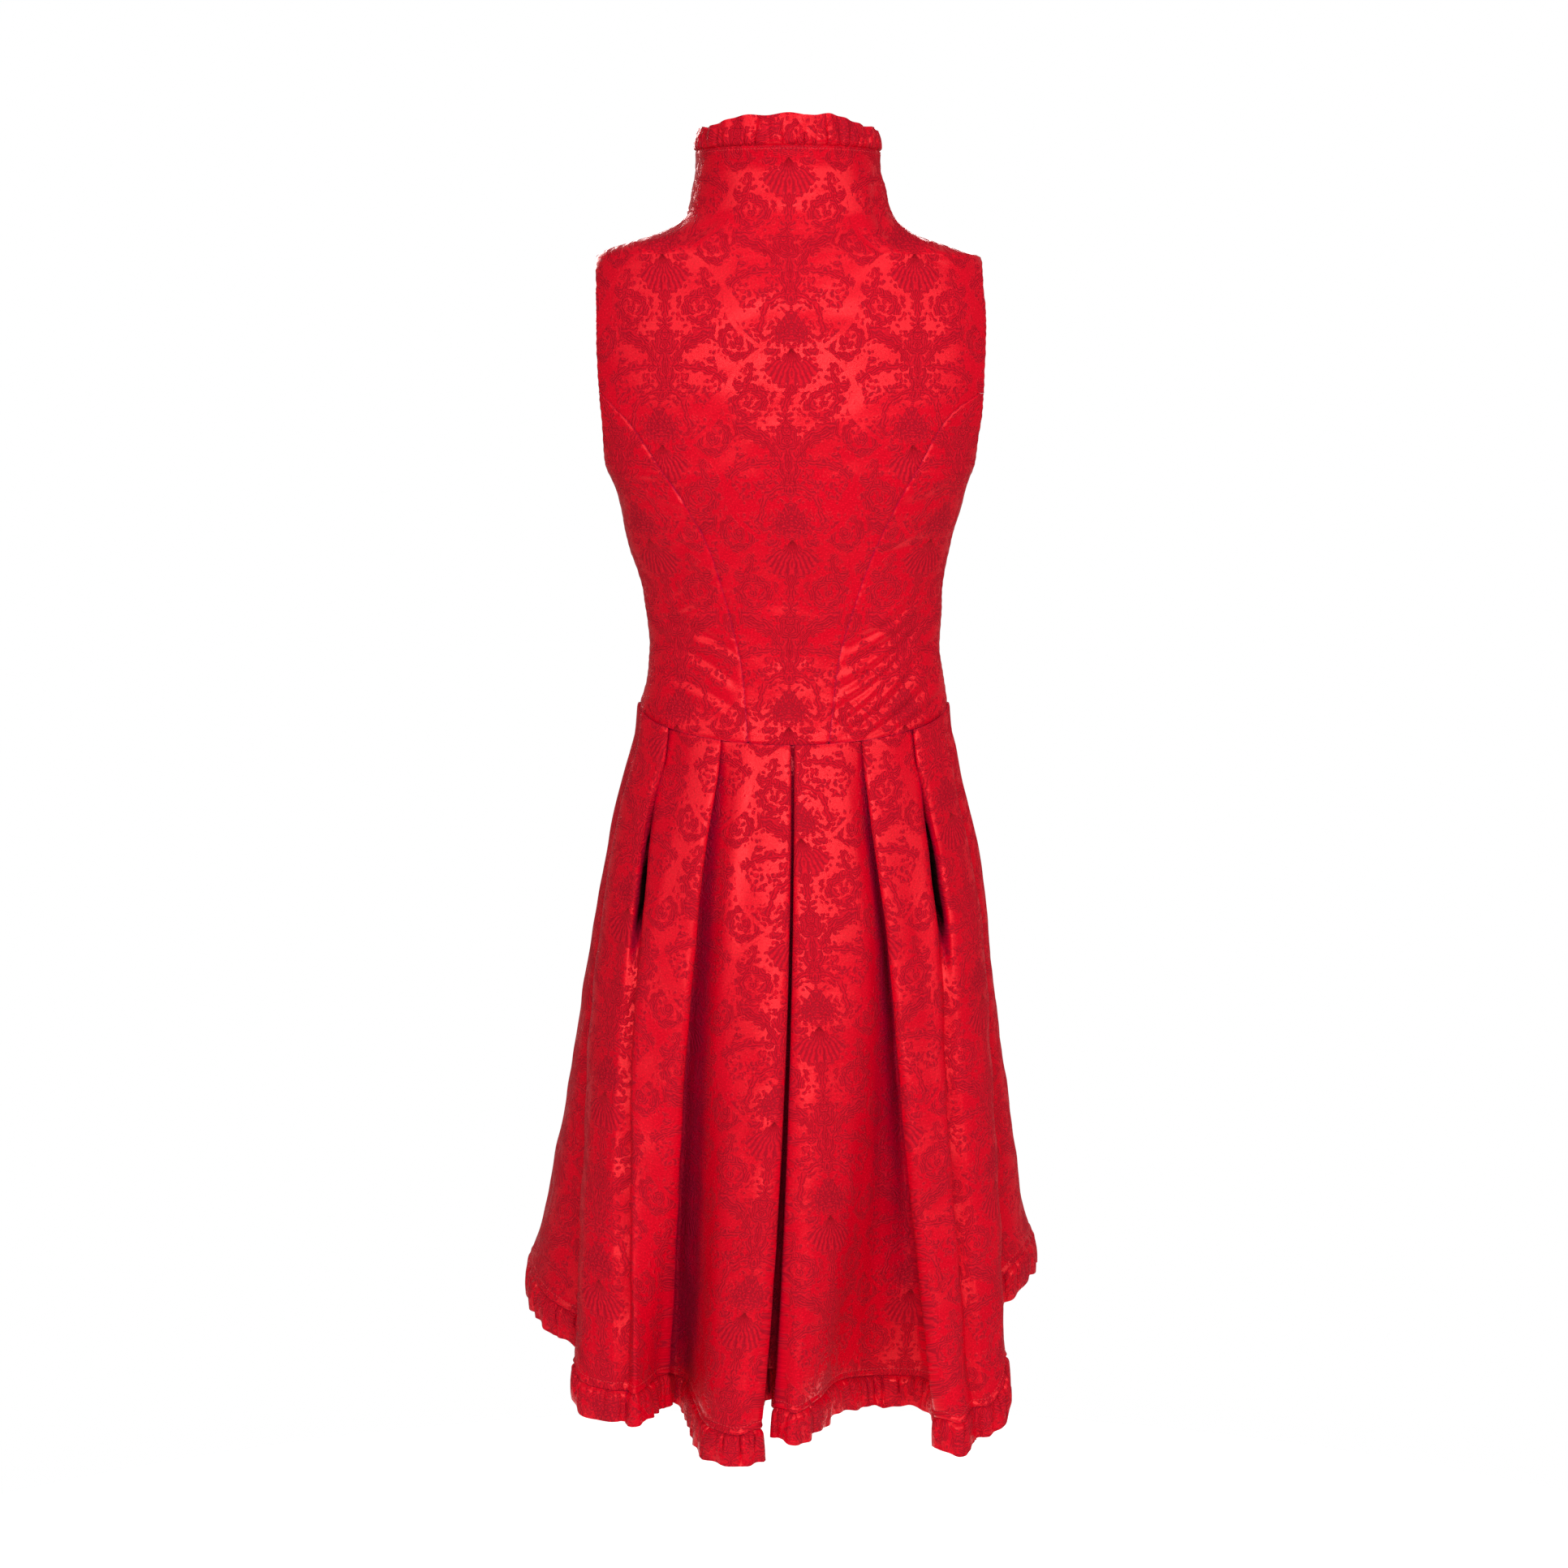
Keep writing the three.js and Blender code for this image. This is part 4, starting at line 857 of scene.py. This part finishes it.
def damask(n):
    """Where a point of the cloth lies in the figure that repeats as a half drop, each repeat
    mirrored about its own middle: distances along the cloth, the place in the figure, with hand-drawn
    wander, as numbers and as a vector, the distance to the lattice, and the wander itself"""
    split = n.new("SeparateXYZ", {0: n.new("UVMap", uv_map="cloth").outputs[0]})
    u = n.mul(split.outputs[0], 1000.0)
    v = n.mul(split.outputs[1], 1000.0)
    wide, tall = REPEAT_X / 2, REPEAT_Y / 2
    x = n.math("ABSOLUTE", n.sub(n.math("FLOORED_MODULO", n.add(u, wide), float(REPEAT_X)), wide))
    y = n.sub(n.math("FLOORED_MODULO", n.add(v, tall), float(REPEAT_Y)), tall)
    ay = n.math("ABSOLUTE", y)
    bow = n.mul(n.math("SINE", n.mul(n.sub(ay, tall / 2), 2 * math.pi / tall)), LATTICE_BOW)
    edge = n.sub(n.add(LATTICE_X, bow), n.add(x, n.mul(ay, LATTICE_SLOPE)))
    beyond = n.math("LESS_THAN", edge, 0.0)
    x1 = n.add(x, n.mul(beyond, n.sub(wide, n.mul(x, 2.0))))
    y1 = n.sub(y, n.mul(beyond, n.mul(n.math("SIGN", y), tall)))
    gap = n.mul(n.math("ABSOLUTE", edge), 0.8)
    warp_x = n.noise(n.vector(x1, y1), 0.075, 1.0)
    warp_y = n.noise(n.vector(n.add(x1, 40.0), n.add(y1, 17.0)), 0.085, 1.0)
    px = n.add(x1, n.mul(n.sub(warp_x, 0.5), WANDER))
    py = n.add(y1, n.mul(n.sub(warp_y, 0.5), WANDER))
    return u, v, px, py, n.vector(px, py), gap, n.add(warp_x, warp_y)


# Rosettes, buds and bosses of the figure: their middles, radii and, for rings, half-widths
ROSETTES = [
    (31.0, 34.0, 11.5, 3.8), (31.0, 34.0, 4.0, 0), (61.0, 6.0, 12.5, 3.4), (61.0, 6.0, 5.5, 0),
    (42.0, 56.0, 9.0, 3.0), (0.0, -38.0, 6.5, 0),
]


def figure(n, px, py, flat, gap):
    """Distance in millimetres to the edge of the woven figure, negative inside it, and what its
    ribs are drawn from: that distance without the lobed edge, the lobes, the angle about the fan's
    foot and the distances to the fan and the pine cone"""
    def disc(cx, cy, r):
        return n.sub(n.size(n.sub(px, cx), n.sub(py, cy)), r)

    def arc_leaf(cx, cy, r, thick):
        return n.sub(n.math("ABSOLUTE", disc(cx, cy, r)), thick) if thick else disc(cx, cy, r)

    # cone with a pointed top, inside a wreath
    up = n.add(py, 61.0)
    pine = n.sub(n.size(n.mul(px, n.add(1.0, n.mul(up, 0.028))), n.mul(up, 1.02)), 15.0)
    wreath = n.most(arc_leaf(0.0, -57.0, 24.5, 3.2), n.sub(-70.0, py))
    # drooping fan over the next cone's stem
    fy = n.sub(77.0, py)
    fr = n.size(px, fy)
    fan_angle = n.math("ARCTAN2", px, fy)
    fan = n.most(n.sub(fr, 29.5), n.mul(n.sub(fan_angle, 1.0), fr))
    stem = n.most(n.sub(px, n.add(3.0, n.mul(n.math("ABSOLUTE", n.sub(py, 30.0)), 0.16))),
                  n.sub(n.math("ABSOLUTE", n.sub(py, 32.0)), 22.0))
    # pair of long leaves that open from the base, and a second pair outside them
    lx, ly = n.mul(n.sub(px, 40.0), 1.28), n.add(py, 34.0)
    bow = n.size(lx, ly)
    swell = n.add(2.6, n.mul(ly, 0.085))
    leaves = n.most(n.sub(n.math("ABSOLUTE", n.sub(bow, 46.0)), swell),
                    n.most(n.sub(px, 43.0), n.sub(-36.0, py)))
    sheaf = n.most(n.sub(px, n.add(2.6, n.mul(n.add(py, 34.0), 0.2))),
                   n.sub(n.math("ABSOLUTE", n.add(py, 12.0)), 26.0))
    outer = n.most(arc_leaf(24.0, -48.0, 34.0, 3.6), n.sub(n.mul(px, -0.6), n.add(py, 12.0)))
    out = pine
    for part in [wreath, fan, stem, leaves, sheaf, outer] + [arc_leaf(*row) for row in ROSETTES]:
        out = n.least(out, part)
    # small flowers fill the ground between the large forms
    flowers = n.sub(n.mul(n.cells(flat, 0.082, 0.7), 1 / 0.082), 5.4)
    flowers = n.most(flowers, n.most(n.sub(2.6, out), n.mul(n.sub(n.noise(flat, 0.05, 1.0), 0.5), 24.0)))
    out = n.least(out, flowers)
    lobe = n.cells(flat, 0.22, 0.65)
    inner = out
    out = n.add(out, n.sub(n.mul(n.mul(lobe, lobe), 9.5), 2.0))
    return n.most(out, n.sub(LATTICE_GAP, gap)), inner, lobe, fan_angle, fan, pine


# Colours of the painted shade in folds: deep crimson in recesses, near-black in the deepest slits
PAINTED_FOLD_SHADE, PAINTED_SLIT_SHADE = srgb(150, 0, 60), srgb(34, 6, 12)


def cloth(name, ground, motif, deep, ground_rough, motif_rough, relief):
    """Red-on-red damask: a glossy ground, a matt ribbed figure with painted shade in its rib troughs and
    lobe edges, and painted shade in the folds, darker further in
    """
    n = Nodes(name)
    u, v, px, py, flat, gap, wander = damask(n)
    d, inner, lobe, fan_angle, fan, pine = figure(n, px, py, flat, gap)
    inside = n.ramp(d, 0.5, -0.5)
    contour = n.math("SINE", n.mul(n.add(inner, n.mul(wander, 9.0)), 2 * math.pi / RIB_PITCH))
    rays = n.math("SINE", n.mul(fan_angle, FAN_RIBS))
    in_fan = n.ramp(fan, 0.0, -1.0)
    dots = n.ramp(n.cells(flat, 0.42), 0.1, 0.55, 1.0, -1.0)
    in_pine = n.ramp(pine, -1.0, -2.0)
    ribs = n.add(n.mul(contour, n.sub(1.0, in_fan)), n.mul(rays, in_fan))
    ribs = n.add(n.mul(ribs, n.sub(1.0, in_pine)), n.mul(dots, in_pine))
    ribs = n.mul(ribs, inside)
    thread_u = n.math("SINE", n.mul(u, 2 * math.pi / WARP_PITCH))
    thread_v = n.math("SINE", n.mul(v, 2 * math.pi / WEFT_PITCH))
    weave = n.mul(thread_u, thread_v)
    whole = n.vector(u, v)
    speck = n.noise(whole, 0.62, 3.0)
    patch = n.noise(whole, 0.02, 2.0)
    # Painted shade: the figure darkens to its deep colour in its rib troughs and towards its lobe edges,
    # where the bump sinks it
    petals = n.mul(n.ramp(lobe, 0.3, 0.62), inside)
    face = n.sub(n.ramp(ribs, -0.9, 0.5), n.mul(petals, 0.42))
    motif_colour = n.mix(face, deep, motif)
    colour = n.mix(inside, ground, motif_colour)
    # Painted shade: the colour turns deep crimson, then near-black, as the fold attribute rises
    shut = n.new("Attribute", attribute_name="fold").outputs["Fac"]
    colour = n.mix(n.ramp(shut, 0.2, 0.95, 0.0, 0.75), colour, PAINTED_FOLD_SHADE)
    colour = n.mix(n.ramp(shut, 0.76, 0.98), colour, PAINTED_SLIT_SHADE)
    shade = n.add(n.mul(n.sub(speck, 0.5), 0.85), n.mul(n.sub(patch, 0.5), 0.16))
    shade = n.add(1.0, n.add(shade, n.mul(weave, 0.03)))
    bright = n.new("VectorMath", {0: colour, "Scale": shade}, operation="SCALE")
    rough = n.add(n.mul(inside, motif_rough - ground_rough), ground_rough)
    rough = n.add(rough, n.mul(n.sub(speck, 0.5), 0.14))
    height = n.add(n.sub(n.mul(inside, 0.26), n.mul(petals, 0.22)), n.mul(ribs, 0.16))
    rough_face = n.mul(n.sub(speck, 0.5), n.add(0.05, n.mul(inside, 0.15)))
    height = n.add(height, n.add(n.mul(weave, 0.012), rough_face))
    bump = n.new("Bump", {"Strength": relief, "Distance": 0.001, "Height": height})
    n.put(n.shader, {"Base Color": bright.outputs[0], "Roughness": rough, "Normal": bump.outputs[0],
                     "Metallic": 0.12, "Specular IOR Level": 0.35, "Specular Tint": (1.0, 0.42, 0.3, 1.0),
                     "Sheen Weight": 0.01, "Sheen Roughness": 0.4, "Sheen Tint": (1.0, 0.18, 0.16, 1.0)})
    return n.material


def sewing_thread():
    n = Nodes("sewing_thread")
    twist = n.noise(n.new("TexCoord").outputs["Object"], 2200.0, 2.0)
    colour = n.mix(twist, srgb(196, 14, 34), srgb(236, 52, 58))
    rough = n.add(0.4, n.mul(twist, 0.2))
    bump = n.new("Bump", {"Distance": 0.0002, "Height": twist})
    n.put(n.shader, {"Base Color": colour, "Roughness": rough, "Normal": bump.outputs[0]})
    return n.material


# Face: the ground a little lighter than the figure, as painted sheen beside its real gloss; the deep
# colour is painted shade
outside = cloth("damask_face", srgb(218, 4, 34), srgb(211, 2, 34), srgb(170, 0, 32), 0.26, 0.72, 1.0)
# Reverse: the figure's tones swapped and matt, and darker all over as painted shade for the insides of
# the cloth
shaded_reverse = cloth("damask_reverse_shaded", srgb(150, 3, 26), srgb(166, 5, 30), srgb(140, 2, 24), 0.7, 0.62, 0.6)
thread = sewing_thread()

# Bodice: rows of points are closer together along the armholes and the neckline

arm_z = (-182.5, -181, -180, -179, -178, -177, -175.5, -174, -8, -6, -5, -4, -3, -2, -1, 0)
neck_z = (-158, -157.5, -157, -156, -155, -154, -153, -152, -150, -148, -146)
back_z = z_rows(WAIST_Z, BACK_TOP, 210, (ARMHOLE_SEAM_Z, ARMHOLE_SEAM_Z + 0.3) + arm_z[8:])
side_z = z_rows(WAIST_Z, ARMHOLE_SEAM_Z, 140, arm_z[:8])
front_z = z_rows(WAIST_Z, FRONT_TOP, 190, neck_z + arm_z)
back_piece, back_grid, back_normals, _ = bodice_piece(
    "back_panel", back_at, [(z, -princess_turn(1, z), princess_turn(-1, z)) for z in back_z], 110,
    BACK_CREASES, 0.5)
sides = []
for side, name in ((1, "side_back_left"), (-1, "side_back_right")):
    spans = [(z, -1, -princess_turn(1, z)) if side > 0 else (z, princess_turn(-1, z), 1) for z in side_z]
    sides.append(bodice_piece(name, back_at, spans, 72, BACK_CREASES, 0.5))
fronts = {}
for side, name in ((1, "front_left"), (-1, "front_right")):
    spans = []
    for z in front_z:
        neck = turn_at(1, float(front["neck"](z)), z)
        spans.append((z, neck, 1) if side > 0 else (z, -1, -neck))
    fronts[name] = bodice_piece(name, front_at, spans, 70, FRONT_CREASES, 0.0 if side > 0 else 1.0)

# Skirt

last_column = ring.shape[1] - 1
# Each section's skirt, ruffle, stitches, first and last column, and the seed of its ruffle
SECTIONS = [
    ("skirt_front_left", "hem_ruffle_front_left", "hem_stitches_front_left", 0, left_seam, 4),
    ("skirt_back", "hem_ruffle_back", "hem_stitches_back", left_seam, right_seam, 11),
    ("skirt_front_right", "hem_ruffle_front_right", "hem_stitches_front_right",
     right_seam, last_column, 23),
]
skirts = {name: skirt_piece(name, first, last) for name, _, _, first, last, _ in SECTIONS}
hems = {name: hem_ruffle(name, first, last, seed) for _, name, _, first, last, seed in SECTIONS}

# Neckline ruffle: up the right front edge, round the back of the collar and down the left

_, right_grid, right_normals, _ = fronts["front_right"]
_, left_grid, left_normals, _ = fronts["front_left"]
low = int(np.argmax(front["neck"](front_z) > 0)) - 1
edge_points = np.concatenate([right_grid[low:, -1], back_grid[-1, ::-1], left_grid[low:, 0][::-1]])
edge_out = np.concatenate([right_normals[low:, -1], back_normals[-1, ::-1], left_normals[low:, 0][::-1]])
edge_points[0, 0] -= RUFFLE_WALL
edge_points[-1, 0] += RUFFLE_WALL
keep = np.concatenate([[True], np.linalg.norm(np.diff(edge_points, axis=0), axis=-1) > 0.2])
edge_points, edge_out = edge_points[keep], edge_out[keep]
length = arc(edge_points)
even = np.linspace(0, length[-1], 420)
edge_points = pick(edge_points, length, even)
edge_out = unit(pick(edge_out, length, even))
edge_along = np.empty_like(edge_points)
edge_along[3:-3] = edge_points[6:] - edge_points[:-6]
edge_along[:3] = edge_points[3] - edge_points[0]
edge_along[-3:] = edge_points[-1] - edge_points[-4]
fall = unit(np.cross(edge_along, edge_out))
fall[0, 0] = fall[-1, 0] = 0
fall = unit(fall)
tall = NECK_LOW + (NECK_TALL - NECK_LOW) * smooth((edge_points[:, 2] - NECKLINE_Z) / NECK_RISE)
tall = tall * (1 - NECK_SIDE * smooth((np.abs(edge_points[:, 0]) - NECK_BACK_X) / NECK_FADE))
root_line = edge_points - edge_out * BODICE_WALL / 2 + fall * NECK_GAP
fall = unit(fall - edge_out * NECK_LEAN) * tall[:, None]
neck_piece, neck_grid = ruffle("neck_ruffle_cloth", root_line[::-1], edge_out[::-1], fall[::-1],
                               9.4, 3.1, True, "neck_ruffle", 7, 0.55)

# Stitching

def hem_stitches(name, first, last):
    row = int(np.argmin(np.abs(above_hem[:, first:last].mean(1) - HEM_STITCH)))
    line = draw_in(ring[row], first, last, 1.0)
    normal = ring_normals[row, first:last + 1]
    return stitch_row(name, line + normal * SKIRT_WALL / 2, normal)


hem_thread = {name: hem_stitches(row_name, first, last)
              for name, _, row_name, first, last, _ in SECTIONS}
row = int(np.argmin(np.abs(back_z - (BACK_TOP - COLLAR_STITCH))))
collar_thread = stitch_row("collar_stitches", back_grid[row], back_normals[row], sink=0.1)

# Each piece's one-layer area, length and width are worked out, and nothing uses them

def declare(piece, grid):
    area = layer_area(grid)
    tall = float(np.linalg.norm(np.diff(grid, axis=0), axis=-1).sum(0).max()) / 1000
    wide = float(arc(grid).max()) / 1000


declare(back_piece, back_grid)
for piece, grid, _, _ in [*sides, *fronts.values()]:
    declare(piece, grid)
for name, (piece, grid) in skirts.items():
    declare(piece, grid)
for piece, grid in hems.values():
    declare(piece, grid)
declare(neck_piece, neck_grid)

# Stage, light and camera

FLOOR_RADIUS, FLOOR_Z, FLOOR_SIDES = 1.5, -1.44, 96
scene = bpy.context.scene
floor_mesh = bpy.data.meshes.new("floor")
turns = [k * math.tau / FLOOR_SIDES for k in range(FLOOR_SIDES)]
floor_mesh.from_pydata([(FLOOR_RADIUS * math.cos(a), FLOOR_RADIUS * math.sin(a), FLOOR_Z) for a in turns],
                       [], [list(range(FLOOR_SIDES))])
floor_nodes = Nodes("floor_paper")
floor_nodes.put(floor_nodes.shader, {
    "Base Color": (0.92, 0.92, 0.92, 1), "Roughness": 1.0, "Specular IOR Level": 0.0,
    "Emission Color": (1, 1, 1, 1), "Emission Strength": 0.35})
floor_mesh.materials.append(floor_nodes.material)
floor = bpy.data.objects.new("floor", floor_mesh)
scene.collection.objects.link(floor)

# White where the camera sees it, and much weaker as a light
world = bpy.data.worlds.new("studio")
world.use_nodes = True
background = world.node_tree.nodes["Background"]
light_path = world.node_tree.nodes.new("ShaderNodeLightPath")
strength = world.node_tree.nodes.new("ShaderNodeMapRange")
world.node_tree.links.new(light_path.outputs["Is Camera Ray"], strength.inputs[0])
strength.inputs["To Min"].default_value = 0.16
strength.inputs["To Max"].default_value = 1.0
background.inputs["Color"].default_value = (1, 1, 1, 1)
world.node_tree.links.new(strength.outputs[0], background.inputs["Strength"])
scene.world = world


def softbox(name, place, aim, wide, tall, power, glint=True):
    light = bpy.data.lights.new(name, "AREA")
    light.shape = "RECTANGLE"
    light.size = wide
    light.size_y = tall
    light.energy = power
    box = bpy.data.objects.new(name, light)
    box.visible_camera = False
    box.visible_glossy = glint
    box.location = place
    box.rotation_euler = (Vector(aim) - Vector(place)).to_track_quat("-Z", "Y").to_euler()
    scene.collection.objects.link(box)


softbox("strip", (0, 2.5, 0.34), (0, 0.05, -0.3), 1.9, 0.26, 35)
softbox("key_left", (1.6, 1.75, 0.75), (0, 0.05, -0.3), 1.9, 1.5, 19)
softbox("key_right", (-1.6, 1.75, 0.75), (0, 0.05, -0.3), 1.9, 1.5, 25.5)
softbox("top", (0, 0.8, 1.4), (0, 0, -0.2), 1.2, 0.8, 4)
softbox("front", (0.5, -2.4, 0.4), (0, 0, -0.4), 2.0, 0.9, 38)
softbox("front_fill", (-1.7, -1.5, 0.3), (0, 0, -0.4), 1.5, 1.2, 22, glint=False)

EYE, TARGET = Vector((0.0062, 2.7847, -0.1495)), Vector((0.0062, 0, -0.4422))
camera_data = bpy.data.cameras.new("camera")
camera_data.lens = 75.6
camera_data.sensor_width = 36
camera = bpy.data.objects.new("camera", camera_data)
camera.location = EYE
camera.rotation_euler = (TARGET - EYE).to_track_quat("-Z", "Y").to_euler()
scene.collection.objects.link(camera)
scene.camera = camera
scene.view_settings.view_transform = "Standard"
